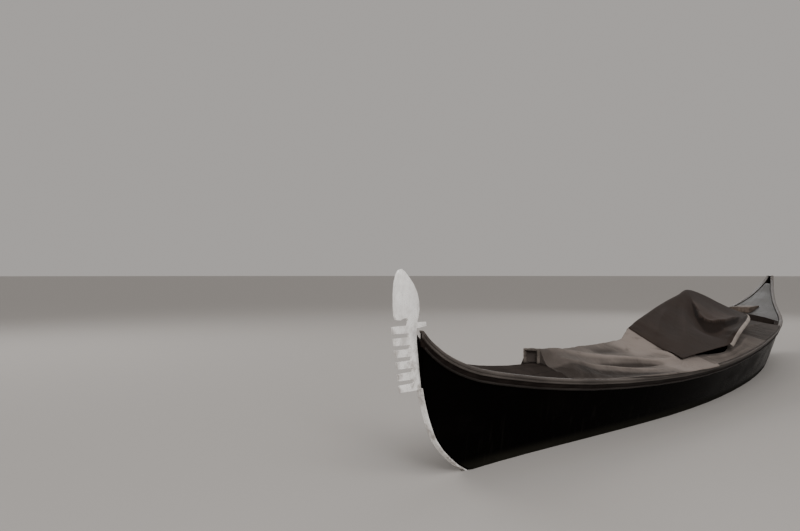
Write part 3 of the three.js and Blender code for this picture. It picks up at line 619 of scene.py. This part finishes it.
def nearest(points, way):
    """For each point, its distance to a broken line, and the nearest place's share of the line's length."""
    way = np.asarray(way, float)
    start, run = way[:-1], np.diff(way, axis=0)
    long = np.linalg.norm(run, axis=1)
    begun = np.concatenate(([0], np.cumsum(long)))
    offset = points[..., None, :] - start
    t = np.clip((offset * run).sum(-1) / (long**2), 0, 1)
    gap = np.linalg.norm(offset - t[..., None] * run, axis=-1)
    k = gap.argmin(-1)[..., None]
    share = (np.take_along_axis(t, k, -1)[..., 0] * long[k[..., 0]] + begun[k[..., 0]]) / begun[-1]
    return np.take_along_axis(gap, k, -1)[..., 0], share


def folds(points, table):
    """Sum of folds. Each has a height, a half-width, how much of its length it takes to rise at its ends, and
    the line of its crest; its section is a rounded peak, height / (1 + (distance / width) ** 2) ** 1.5."""
    total = np.zeros(points.shape[:-1])
    for height, width, lead_in, lead_out, way in table:
        gap, share = nearest(points, way)
        ends = step(share, -0.001, lead_in) * (1 - step(share, 1 - lead_out, 1.001))
        total += height * ends / (1 + (gap / width) ** 2) ** 1.5
    return total


def painted_fold_light(fold, cover):
    """A cover's folds as a mark on it, for a painted highlight on their crests and painted shade in their
    hollows: 1 where one is as high as the table above says, -1 where it is as deep.
    """
    return np.clip(fold / PAINTED_LIGHT_FULL_AT[cover], -MOST_PAINTED_LIGHT, MOST_PAINTED_LIGHT)


def normals(grid):
    """Unit normals of a grid of (s, y, z), rows running aft and columns from port to starboard. They point
    outward and come back as (s, y, z)."""
    turned = grid * np.array([-1, 1, 1])
    out = np.cross(np.gradient(turned, axis=0), np.gradient(turned, axis=1))
    return out / np.maximum(np.linalg.norm(out, axis=-1, keepdims=True), 1e-9) * np.array([-1, 1, 1])


def flat_place(grid):
    """Coordinates on the unrolled sheet: length along each row, and mean length along the columns."""
    across = np.linalg.norm(np.diff(grid, axis=1), axis=-1)
    along = np.linalg.norm(np.diff(grid, axis=0), axis=-1).mean(1)
    u = np.concatenate((np.zeros((len(grid), 1)), np.cumsum(across, axis=1)), axis=1)
    v = np.concatenate(([0], np.cumsum(along)))[:, None] * np.ones_like(u)
    return np.stack((u, v), -1)


def make_sheet(name, made, material):
    """A mesh from a grid of points in millimetres as (s, y, z), with flat coordinates, marks and the cloth's
    thickness."""
    grid, marks = made
    place = np.stack((BOW_X - grid[..., 0], grid[..., 1], grid[..., 2]), -1) * MM
    n, m = place.shape[:2]
    index = np.arange(n * m).reshape(n, m)
    corners = index[:-1, :-1], index[1:, :-1], index[1:, 1:], index[:-1, 1:]
    quads = np.stack(corners, -1).reshape(-1, 4)
    mesh = bpy.data.meshes.new(name)
    mesh.from_pydata(place.reshape(-1, 3).tolist(), [], quads.tolist())
    mesh.polygons.foreach_set("use_smooth", np.ones(len(quads), bool))
    loops = np.zeros(len(mesh.loops), np.int32)
    mesh.loops.foreach_get("vertex_index", loops)
    flat = flat_place(place).reshape(-1, 2)[loops]
    mesh.uv_layers.new(name="flat").data.foreach_set("uv", flat.ravel())
    for key, values in marks.items():
        mark = mesh.attributes.new(key, "FLOAT", "POINT")
        mark.data.foreach_set("value", values.astype(np.float32).ravel())
    mesh.materials.append(material)
    piece = add(name, mesh)
    shell = piece.modifiers.new("cloth", "SOLIDIFY")
    shell.thickness = CLOTH_THICK
    shell.offset = -1
    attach(piece, "root")
    return piece


def half_breadth(rail, side):
    """The gunwale's distance off the centreline, to port for side 1 and to starboard for -1."""
    return rail[:, 1:] * (1 if side > 0 else STARBOARD)


def hem_points(rail, side, lengths):
    """The hem's points on one side, at the lengths given along its way over the moulding."""
    away = np.interp(lengths, HEM_REACH, HEM_PATH[:, 0])
    up = np.interp(lengths, HEM_REACH, HEM_PATH[:, 1])
    return side * (half_breadth(rail, side) + away), rail[:, :1] + up


def slope_height(table, stations, side, u):
    """Height of a cover at each station and share u of the way from its middle to the gunwale on one side:
    top of the gunwale + crown * (1 - u^2) + climb * (1 - v)^sharp, where v is the share of the way from where
    the prop's bar stops holding it flat. Table columns: s, ridge height, the ridge's sharpness to port, crown
    of what it lies on, hang of the hems, sharpness to starboard."""
    table = np.asarray(table, float)
    rail = through(RAIL, stations)
    top = rail[:, :1] + HEM_PATH[0, 1]
    ridge = through(table[:, :2], stations)
    sharp = np.interp(stations, table[:, 0], table[:, 2 if side > 0 else 5])[:, None]
    crown = np.interp(stations, table[:, 0], table[:, 3])[:, None]
    flat = PROP_FLAT * (1 - step(stations, *PROP_FADES))[:, None] / half_breadth(rail, side)
    v = np.maximum(u - flat, 0) / (1 - flat)
    return top + crown * (1 - u * u) + (ridge - top - crown) * (1 - v) ** sharp


def roof(table, stations):
    """Cover stretched over a ridge, port hem to starboard hem. Returns its points and the share u of the way
    out from the middle, which runs on from 1 to 2 down the hem."""
    rail = through(RAIL, stations)
    hang = np.interp(stations, *np.asarray(table, float)[:, [0, 4]].T)[:, None]
    sides = []
    for side, count in ((1, PORT_STEPS), (-1, STARBOARD_STEPS)):
        hem_y, hem_z = hem_points(rail, side, HEM_SHARES * hang)
        u = np.linspace(1, 0, count)[None, :-1]
        edge = half_breadth(rail, side) + HEM_PATH[0, 0]
        y = np.concatenate((hem_y, side * edge * u), 1)
        z = np.concatenate((hem_z, slope_height(table, stations, side, u)), 1)
        sides.append((y, z, np.concatenate((1 + HEM_SHARES, u), 1) * np.ones_like(edge)))
    middle = np.zeros((len(stations), 1))
    ridge = slope_height(table, stations, 1, middle)
    columns = zip(sides[0], (middle, ridge, middle), sides[1])
    y, z, u = (np.concatenate((port, between, starboard[:, ::-1]), 1) for port, between, starboard in columns)
    return np.stack((stations[:, None] * np.ones_like(y), y, z), -1), u


def lifted(grid, rise):
    """The grid moved by rise along its normals, each point keeping its station."""
    return grid + normals(grid) * rise[..., None] * np.array([0, 1, 1])


# Fore cover, as in the CAD but for its first row's height, and for hems that hang less from s 2460 on
FORE_COVER = [
    (1642, 731, 4.2, 104, 24, 4.2), (1750, 716, 3.6, 126, 24, 3.6), (1860, 700, 3, 160, 24, 3),
    (1980, 690, 2.4, 160, 24, 2.4), (2200, 680, 1.9, 90, 24, 1.9), (2400, 677, 1.6, 40, 24, 1.6),
    (2460, 676, 1.55, 36, 28, 1.55), (2520, 676, 1.5, 32, 34, 1.5), (2590, 675, 1.45, 28, 41, 1.45),
    (2670, 674, 1.4, 24, 48, 1.4), (3000, 668, 1.25, 14, 50, 1.6), (3300, 665, 1.2, 10, 50, 2.2),
    (3560, 670, 1.15, 10, 52, 3.2), (3660, 722, 1.12, 10, 54, 4), (3760, 764, 1.1, 10, 57, 4),
    (3900, 772, 1.1, 10, 60, 4), (4050, 756, 1.1, 10, 62, 4),
]
# Stations of its rows, closer together by the tent
FORE_STATIONS = np.concatenate((np.linspace(1642, 3520, 128), np.linspace(3532, 4050, 52)))
FRONT_ROWS, FRONT_LEAN = 8, 6  # its front drops to the deck, and its foot is this far aft of its top
FRONT_OVER_DECK = -2.4  # from the sheer; the deck's own edge is 4 below it
DECK_RISE = 0.34
DECK_INSET = 36
LAID_HEM = 5  # how far the hem settles on the moulding, past the CAD's clearance
HEM_FLARE = 5  # how far it stands off where it hangs loose
CORNER = (3690, 560)  # where the tent's port corner pulls the cover together
# The pleats there: how many to a full turn, how far they reach, and their height
PLEATS, PLEAT_REACH, PLEAT_HEIGHT = 17, 170, 7.5
# Folds. Columns: height, half-width, lead-in, lead-out, crest (s, y)
FORE_FOLDS = [
    (30, 34, 0.12, 0.04, [
        (1690, 40), (1940, 55), (2265, 85), (2580, 170), (2910, 260), (3375, 435), (3620, 505),
    ]),
    (-42, 40, 0.5, 0.25, [(2150, 190), (2455, 250), (2830, 345), (3240, 425), (3500, 485)]),
    (20, 20, 0.2, 0.2, [(1700, 85), (1950, 220), (2445, 300), (2920, 490), (3240, 560)]),
    (-16, 60, 0.4, 0.3, [(1800, 250), (2300, 380), (2900, 565)]),
    (16, 22, 0.2, 0.1, [(3400, 20), (3470, 110), (3600, 300), (3700, 500)]),
    (-20, 70, 0.3, 0.3, [(2500, 60), (3000, 120), (3450, 210)]),
    (9, 16, 0.3, 0.1, [(3560, 250), (3650, 400), (3690, 540)]),
    (-10, 16, 0.3, 0.1, [(3590, 210), (3680, 380), (3700, 540)]),
    (22, 40, 0.2, 0.3, [(1700, -40), (2300, -110), (2900, -250), (3500, -420)]),
    (-26, 50, 0.3, 0.3, [(2200, -180), (2800, -330), (3300, -430)]),
    (14, 26, 0.3, 0.3, [(3560, -60), (3800, -260), (4000, -420)]),
]


def fore_rise(plan, u):
    """How far folds and unevenness lift the fore cover off its smooth shape, and the folds alone."""
    away = plan - np.array(CORNER)
    far = np.hypot(away[..., 0], away[..., 1])
    turn = np.arctan2(away[..., 1], away[..., 0])
    pleats = np.cos(PLEATS * turn) * np.exp(-((far / PLEAT_REACH) ** 2)) * step(far, 8, 60)
    fold = folds(plan, FORE_FOLDS) + PLEAT_HEIGHT * pleats
    inside = 1 - step(u, 0.86, 1.0)
    shallow = inside * (0.35 + 0.65 * step(plan[..., 0], 1900, 2050))
    fold = np.where(fold > 0, fold * (0.25 + 0.75 * inside), fold * shallow)
    uneven = 3.2 * ripples(plan, 300, 3) + 1.6 * ripples(plan, 110, 4)
    return fold + uneven * (0.25 + 0.75 * inside), fold


def fore_height(place):
    """Height of the fore cover, folds included, under or over each place (s, y, ...)."""
    s, y = place[..., 0].ravel(), place[..., 1].ravel()
    half = through(RAIL, s)[:, 1] * np.where(y > 0, 1, STARBOARD) + HEM_PATH[0, 0]
    u = np.clip(np.abs(y) / half, 0, 1)[:, None]
    port, starboard = slope_height(FORE_COVER, s, 1, u), slope_height(FORE_COVER, s, -1, u)
    rise = fore_rise(np.stack((s, y), -1), u[:, 0])[0]
    return (np.where(y > 0, port[:, 0], starboard[:, 0]) + rise).reshape(place.shape[:-1])


def fore_sheet():
    """The fore cover, with a front that drops to the deck, and folds pulled towards the tent's corner."""
    grid, u = roof(FORE_COVER, FORE_STATIONS)
    plan = grid[..., :2]
    rise, fold = fore_rise(plan, u)
    hang = step(u, 1.0, 1.9)
    loose = step(FORE_STATIONS, 2350, 2700)[:, None]
    flare = HEM_FLARE * hang * loose * (1 + ripples(plan, 260, 5))
    lies = LAID_HEM * step(u, 0.9, 1.0) * (1 - loose)
    moved = lifted(grid, rise + flare - lies)

    rail = through(RAIL, FORE_STATIONS)
    deck = np.where(moved[..., 1] > 0, half_breadth(rail, 1), half_breadth(rail, -1)) - DECK_INSET
    out = np.clip(np.abs(moved[..., 1]) / deck, 0, 1)
    foot = rail[:, :1] + FRONT_OVER_DECK + DECK_RISE * rail[:, 1:] * (1 - out**2)
    over = np.maximum(moved[..., 2] - foot, 0)
    beside = step(np.abs(moved[..., 1]), PROP_FLAT, 2.2 * PROP_FLAT) * (1 - step(u, 1.0, 1.1))
    moved[..., 2] -= over * beside * (1 - step(FORE_STATIONS, FORE_COVER[0][0], FORE_COVER[2][0]))[:, None]

    drop = np.linspace(1, 0, FRONT_ROWS + 1)[:-1, None]
    first = moved[0]
    down = drop * (1 - step(u[0], 1.0, 1.2)) * np.maximum(first[:, 2] - foot[0], 0)
    s, y = first[:, 0] + FRONT_LEAN * drop, first[:, 1]
    front = np.stack((s + 0 * down, y + 0 * down, first[:, 2] - down), -1)
    # Marks: the fold mark paints light and shade on the folds, and the darkening mark paints shade on the
    # front and along the gunwale
    marks = {
        "fold": np.concatenate((0.0 * down, painted_fold_light(fold, "fore") + lightened(plan))),
        "darkening": np.concatenate((0.7 + 0 * down, painted_shade_by_gunwale(plan, u))),
    }
    return np.concatenate((front, moved)), marks


def lightened(plan):
    """How far the cover is made paler, on the broad panel ahead of the tent and by the tent's corner."""
    s, y = plan[..., 0], plan[..., 1]
    across = step(y, -60, 60) * (1 - 0.75 * step(y, 200, 360)) * (1 - step(y, 520, 640))
    corner = 1.1 * step(s, 3150, 3500) * step(y, 420, 540)
    return 1.5 * step(s, 2900, 3500) * across + corner


# Outboard of this line the fore cover gets painted shade
PAINTED_SHADE_LINE = [(1500, 85), (1950, 230), (2445, 320), (2920, 510), (3300, 620)]  # (s, y)


def painted_shade_by_gunwale(plan, u):
    """How far the fore cover is darkened, as painted shade: outboard of the line given above as far as s
    3280, and at its front."""
    line = np.array(PAINTED_SHADE_LINE, float)
    beyond = plan[..., 1] - np.interp(plan[..., 0], *line.T)
    port = step(beyond, 0, 60) * (1 - step(plan[..., 0], 2980, 3280))
    front = 0.6 * (1 - step(plan[..., 0], 1700, 2600))
    return np.clip(port * 0.98 + front, 0, 1) * (1 - 0.8 * step(u, 1.0, 1.2))


# Aft cover, as in the CAD
AFT_COVER = [
    (6050, 768, 1.2, 10, 24, 1.2), (6400, 752, 1.2, 20, 24, 1.2), (6800, 740, 1.2, 30, 24, 1.2),
    (7200, 728, 1.25, 40, 24, 1.25), (7480, 718, 1.3, 50, 24, 1.3),
]
AFT_ROWS = 78
AFT_FOLDS = [
    (20, 34, 0.2, 0.3, [(6060, 420), (6500, 470), (7000, 520), (7450, 560)]),
    (-24, 44, 0.2, 0.3, [(6060, 250), (6600, 330), (7200, 380)]),
    (14, 30, 0.2, 0.2, [(6060, -200), (6700, -330), (7400, -420)]),
    (-18, 40, 0.3, 0.3, [(6300, -80), (6900, -200), (7400, -260)]),
    (12, 24, 0.2, 0.2, [(6200, 90), (6800, 160), (7400, 240)]),
]
GAP = 0.4  # between the flap and the covers at its ends
# Flap of the aft cover that runs forward along the port gunwale, its inner edge up to 12 mm lower than the
# CAD's. Columns: s, the inner edge's distance off the centreline, its height
SIDE_FLAP = [
    (FORE_COVER[-1][0] + GAP, 560, 503), (4250, 600, 494), (4470, 640, 485), (4700, 690, 493),
    (5000, 652, 550), (5400, 584, 597), (5800, 524, 612), (AFT_COVER[0][0] - GAP, 480, 622),
]
FLAP_ROWS, FLAP_STEPS = 110, 26
FLAP_BOW = 1.15
FLAP_HANG = 24
FLAP_FOLDS = [
    (12, 24, 0.1, 0.2, [(4060, 610), (4400, 690), (4800, 742), (5200, 735), (5600, 690), (6040, 660)]),
    (-10, 30, 0.3, 0.2, [(4150, 660), (4500, 722), (4900, 768)]),
    (-12, 26, 0.3, 0.2, [(4900, 700), (5300, 680), (5900, 610)]),
    (9, 18, 0.3, 0.2, [(4560, 778), (4900, 790), (5400, 806)]),
]


def aft_sheet():
    """The aft cover, its folds lying fore and aft."""
    grid, u = roof(AFT_COVER, np.linspace(AFT_COVER[0][0], AFT_COVER[-1][0], AFT_ROWS))
    plan = grid[..., :2]
    inside = 1 - step(u, 0.84, 1.0)
    fold = folds(plan, AFT_FOLDS)
    fold = np.where(fold > 0, fold * (0.25 + 0.75 * inside), fold * inside)
    uneven = 3 * ripples(plan, 280, 13) + 1.5 * ripples(plan, 100, 14)
    moved = lifted(grid, fold + uneven * (0.2 + 0.8 * inside) + 3 * step(u, 1.0, 1.6))
    return moved, {"fold": painted_fold_light(fold, "aft"), "darkening": 0.9 + 0 * fold}


def flap_sheet():
    """The side flap: over the moulding, then up to its inner edge, its climb growing as t^FLAP_BOW."""
    stations = np.linspace(SIDE_FLAP[0][0], SIDE_FLAP[-1][0], FLAP_ROWS)
    rail = through(RAIL, stations)
    inner = through(SIDE_FLAP, stations)
    hem_y, hem_z = hem_points(rail, 1, HEM_SHARES * FLAP_HANG)
    t = np.linspace(0, 1, FLAP_STEPS)[None, :]
    top = rail[:, :1] + HEM_PATH[0, 1]
    y = np.concatenate((hem_y, (rail[:, 1:] + HEM_PATH[0, 0]) * (1 - t) + inner[:, :1] * t), 1)
    z = np.concatenate((hem_z, top + (inner[:, 1:] - top) * t**FLAP_BOW), 1)
    grid = np.stack((stations[:, None] * np.ones_like(y), y, z), -1)
    plan = grid[..., :2]
    fold = folds(plan, FLAP_FOLDS)
    free = np.concatenate((0 * HEM_SHARES, step(t, 0.0, 0.3)), 1)
    moved = lifted(grid, np.where(fold > 0, fold, fold * free) + 1.6 * ripples(plan, 130, 24) * free)
    darkening = 0.2 * step(stations, 4400, 5000)[:, None] + 0 * fold
    return moved, {"fold": painted_fold_light(fold, "flap"), "darkening": darkening}


# Tent cover over the seat, as in the CAD. Each row: port hem, ridge and starboard hem as (s, y, z), and the
# sag of its two halves
TENT = np.array([
    [3650, 560, 512, 3746, 0, 790, 5200, -580, 494, 0, 0],
    [3980, 625, 532, 4100, 0, 850, 5280, -582, 500, 8, 8],
    [4330, 690, 552, 4600, 0, 945, 5380, -583, 508, 20, 20],
    [4660, 745, 574, 5120, 0, 1027, 5500, -584, 516, 30, 30],
    [4780, 765, 640, 5500, 0, 1078, 5680, -584, 526, 45, 30],
    [4900, 785, 715, 5860, 0, 1121, 5960, -583, 546, 70, 30],
    [5500, 735, 790, 6350, 60, 1040, 6350, -576, 572, 100, 30],
    [6200, 600, 800, 6900, 150, 905, 6850, -552, 604, 60, 20],
    [6900, 430, 785, 7400, 230, 794, 7260, -510, 662, 0, 0],
], float)
# The pocket in the tent's port side, in (s, y): its lip, from the peak round and aft, and the rim where its
# hollow ends
LIP = [
    (5640, 75), (5450, 160), (5290, 245), (5120, 315), (5050, 380), (5035, 425), (5060, 480), (5115, 530),
    (5210, 570), (5530, 560), (5890, 540), (6310, 500),
]
RIM = [
    (5640, 70), (5405, 170), (5220, 255), (5045, 345), (4915, 415), (4845, 470), (4865, 525), (4925, 570),
    (5040, 605), (5315, 615), (5780, 580), (6310, 500),
]
POCKET_DEPTH, RIM_WIDTH = 50, 150
LIP_HEIGHT, LIP_WIDTH = 24, 70
# Columns: height, half-width, lead-in, lead-out, crest (s, y, z)
TENT_FOLDS = [
    (14, 60, 0.3, 0.3, [(5760, 10, 1100), (4900, 210, 830), (4200, 420, 660), (3760, 560, 520)]),
    (-14, 70, 0.3, 0.3, [(5400, 60, 1020), (4600, 230, 790), (3980, 400, 620)]),
    (10, 40, 0.3, 0.2, [(4900, 60, 970), (4300, 130, 800), (3760, 250, 660)]),
    (24, 50, 0.2, 0.3, [(5860, -30, 1110), (5850, -260, 860), (5800, -520, 600)]),
    (-22, 60, 0.2, 0.3, [(5300, -60, 1000), (5500, -280, 790), (5600, -500, 590)]),
    (18, 44, 0.2, 0.3, [(6300, 0, 1030), (6400, -280, 800), (6450, -520, 610)]),
]


def within(points, outline):
    """Whether each point lies in a closed outline: a ray along +x then crosses an odd number of its sides."""
    a = np.asarray(outline, float)
    b = np.roll(a, -1, axis=0)
    x, y = points[..., 0, None], points[..., 1, None]
    crosses = (a[:, 1] > y) != (b[:, 1] > y)
    climb = b[:, 1] - a[:, 1]
    at = a[:, 0] + (y - a[:, 1]) * (b[:, 0] - a[:, 0]) / np.where(climb == 0, 1, climb)
    return (crosses & (x < at)).sum(-1) % 2 == 1


def pocket(plan):
    """The pocket's rise, with its painted shade and painted highlight: cloth bulges over the lip, falls in
    from there to the rim and comes back out slowly beyond it, and the hollow is painted darker and the cloth
    above the lip lighter."""
    lip, along = nearest(plan, LIP)
    rim, _ = nearest(plan, RIM)
    hollow = within(plan, LIP + RIM[::-1])
    v = lip / np.maximum(lip + rim, 1)
    ends = step(along, 0.0, 0.3) * (1 - step(along, 0.7, 1.0))
    above = ~hollow & (lip < rim)
    fall = 0.45 * step(v, 0.0, 0.16) + 0.55 * step(v, 0.0, 1.0)
    inside = LIP_HEIGHT - (LIP_HEIGHT + POCKET_DEPTH) * fall
    over_lip = LIP_HEIGHT * np.exp(-((lip / LIP_WIDTH) ** 2))
    past_rim = -POCKET_DEPTH * np.exp(-((rim / RIM_WIDTH) ** 2))
    outside = np.where(above, over_lip, past_rim)
    # Painted shade in the hollow, and a painted highlight on the cloth above the lip
    dark = -1.25 * step(v, 0.0, 0.06) * (1 - step(v, 0.82, 1.0))
    lit = 0.6 * np.exp(-((lip / 45) ** 2)) + 1.15 * np.exp(-((lip / 300) ** 2))
    shade = np.where(hollow, dark, np.where(above, lit, 0))
    return ends * np.where(hollow, inside, outside), shade * step(along, 0.0, 0.12) * ends**0.4


TENT_ROWS = 132
TENT_PORT, TENT_STARBOARD = 66, 52  # columns in each half
TENT_BORDER = 7  # rows or columns in which the folds die out towards the edges
ROUNDINGS = 3
TENT_OVER_COVER, MOST_SETTLED = 4, 50  # its clearance over the fore cover, and how far it may come down to it


def tent_rows(at):
    """The tent's table at the row numbers given, 0 for its first row."""
    return through(np.column_stack((np.arange(len(TENT)), TENT)), at)


def tent_sheet():
    """The tent cover: straight from hem to ridge, less a sag of 4 t (1 - t), rounded over the ridge by
    averaging each point with the two beside it, moved along its normals by its folds and its unevenness, and
    let down onto the fore cover."""
    rows = tent_rows(np.linspace(0, len(TENT) - 1, TENT_ROWS))
    port, ridge, starboard = rows[:, 0:3], rows[:, 3:6], rows[:, 6:9]
    halves = []
    sides = (port, ridge, rows[:, 9], TENT_PORT), (ridge, starboard, rows[:, 10], TENT_STARBOARD)
    for start, end, sag, count in sides:
        t = np.linspace(0, 1, count)[None, :, None]
        half = start[:, None] * (1 - t) + end[:, None] * t
        half[..., 2] -= sag[:, None] * (4 * t * (1 - t))[..., 0]
        halves.append(half)
    grid = np.concatenate((halves[0], halves[1][:, 1:]), 1)
    for _ in range(ROUNDINGS):
        grid[:, 1:-1] = (grid[:, :-2] + 2 * grid[:, 1:-1] + grid[:, 2:]) / 4

    columns = np.arange(grid.shape[1])[None, :]
    rows = np.arange(grid.shape[0])[:, None]
    from_sides = np.minimum(columns, grid.shape[1] - 1 - columns)
    from_ends = np.minimum(rows, TENT_ROWS - 1 - rows)
    border = step(np.minimum(from_sides, from_ends), 0, TENT_BORDER)
    fold = folds(grid, TENT_FOLDS) * (0.15 + 0.85 * border)
    sunk, shade = pocket(grid[..., :2])
    to_port = (columns < TENT_PORT + 4) * border
    uneven = 2.6 * ripples(grid, 420, 33) + 1.2 * ripples(grid, 150, 34)
    rise = fold + sunk * to_port + uneven * (0.4 + 0.6 * border)
    moved = grid + normals(grid) * rise[..., None]

    over = np.maximum(moved[..., 2] - fore_height(moved) - TENT_OVER_COVER, 0)
    forward = (1 - step(rows, -4, 15)) * (1 - step(moved[..., 0], 3900, 4040))
    settles = forward * (1 - 0.75 * step(moved[..., 1], 300, 520))
    moved[..., 2] -= np.minimum(over, MOST_SETTLED) * settles
    # The tent's fold mark: painted highlight and shade on its folds, and the pocket's painted shade and
    # highlight
    mark = np.clip(fold / PAINTED_LIGHT_FULL_AT["tent"] + shade * to_port, -1.3, MOST_PAINTED_LIGHT)
    return moved, {"fold": mark, "darkening": 0 * fold}


HEM_BAND = 62  # width of the tent's turned hem, which is paler than the tent
BAND_ROWS = (3.02, 7.9)  # rows of the tent's table between which it runs
BAND_STEPS, BAND_COLUMNS = 120, 9
BAND_WAY = (70.0, 26.0, -52.0)  # (s, y, z)


def hem_band():
    """The tent's port hem from the mouth aft, turned out: a strip that hangs from the edge, down, aft and a
    little out."""
    edge = tent_rows(np.linspace(*BAND_ROWS, BAND_STEPS))[:, :3]
    width = HEM_BAND * (1 - 0.6 * step(np.linspace(0, 1, BAND_STEPS), 0.75, 1.0))
    way = np.array(BAND_WAY) / np.linalg.norm(BAND_WAY)
    t = np.linspace(0, 1, BAND_COLUMNS)[None, :, None]
    bulge = 7 * np.sin(np.pi * t) * np.array([0, 1.0, 0.3])
    grid = edge[:, None] + np.array([0, 3.0, 3.0]) + way * (1 - t) * width[:, None, None] + bulge
    grid[..., 2] += 2.5 * ripples(grid, 240, 41)
    # A fold mark above 0 all over makes the band paler still.
    return grid, {"fold": 0.55 + 0.3 * ripples(grid, 200, 42), "darkening": 0 * grid[..., 0]}


make_camera()
make_light()
make_floor()
SMOOTH = smooth_group()

LACQUER, STRAKE, IRON = hull_lacquer(), strake_varnish(), bright_iron()
# The foredeck's grey tone is dust and painted reflection: it stands for the sky's sheen on black lacquer, and
# the real gloss is kept low.
DECK_DUST_AND_PAINTED_REFLECTION = deck_lacquer("deck_lacquer", 0.02, 0.8, (0.0175, 0.0135, 0.0115), (0.0330, 0.0262, 0.0227))
AFT_DECK = deck_lacquer("aft_deck_lacquer", 0.2, 0.5, (0.016, 0.0135, 0.0120), (0.036, 0.0312, 0.0280))
WOOD = boards("inner_wood", (0.036, 0.026, 0.0205), (0.098, 0.073, 0.056))
BARE_WOOD = boards("bare_wood", (0.055, 0.045, 0.038), (0.120, 0.101, 0.087))
# The mouldings' pale tones are painted reflection of the sky, weaker on the lower moulding, which gets the
# darker copy.
TOP_PAINTED_REFLECTION = moulding_with_painted_reflection("moulding", (0.044, 0.0368, 0.0325), (0.082, 0.0705, 0.063))
LOWER_PAINTED_REFLECTION = moulding_with_painted_reflection("lower_moulding", (0.0095, 0.0074, 0.0064), (0.0225, 0.0186, 0.0164))
FORE_CANVAS = canvas(
    "fore_canvas", (0.078, 0.065, 0.057), (0.128, 0.108, 0.096), (0.0170, 0.0133, 0.0113), 0.0018
)
TENT_CANVAS = canvas(
    "tent_canvas", (0.0200, 0.0139, 0.0113), (0.0290, 0.0210, 0.0175), (0.0088, 0.0063, 0.0053), 0.0016
)
HEM_CANVAS = canvas("hem_canvas", (0.150, 0.130, 0.116), (0.215, 0.188, 0.168), (0.085, 0.072, 0.064), 0.0018)

dress(LACQUER, *[name for name in NODES if "planking" in name], "stem_post", "stern_post")
dress(STRAKE, "sheer_strake_port", "sheer_strake_starboard")
dress(TOP_PAINTED_REFLECTION, "top_moulding_port", "top_moulding_starboard")
dress(LOWER_PAINTED_REFLECTION, "lower_moulding_port", "lower_moulding_starboard")
dress(DECK_DUST_AND_PAINTED_REFLECTION, "inwale_port", "inwale_starboard", "foredeck", "fore_coaming", "aft_coaming", "rowlock_block")
dress(AFT_DECK, "aft_deck")
dress(DECK_DUST_AND_PAINTED_REFLECTION, "fore_thwart", "aft_thwart", "seat_bench", "seat_back")
dress(IRON, "bow_iron", "stern_iron")
dress(WOOD, "frames", "floorboards", "stern_platform")
dress(BARE_WOOD, "cover_prop")
strap_rivets()

fore = make_sheet("fore_cover_cloth", fore_sheet(), FORE_CANVAS)
aft = make_sheet("aft_cover_cloth", aft_sheet(), FORE_CANVAS)
flap = make_sheet("side_flap_cloth", flap_sheet(), FORE_CANVAS)
tent = make_sheet("tent_cover_cloth", tent_sheet(), TENT_CANVAS)
band = make_sheet("tent_hem", hem_band(), HEM_CANVAS)
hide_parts("fore_cover")
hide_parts("aft_cover")
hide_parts("side_flap")
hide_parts("tent_cover")
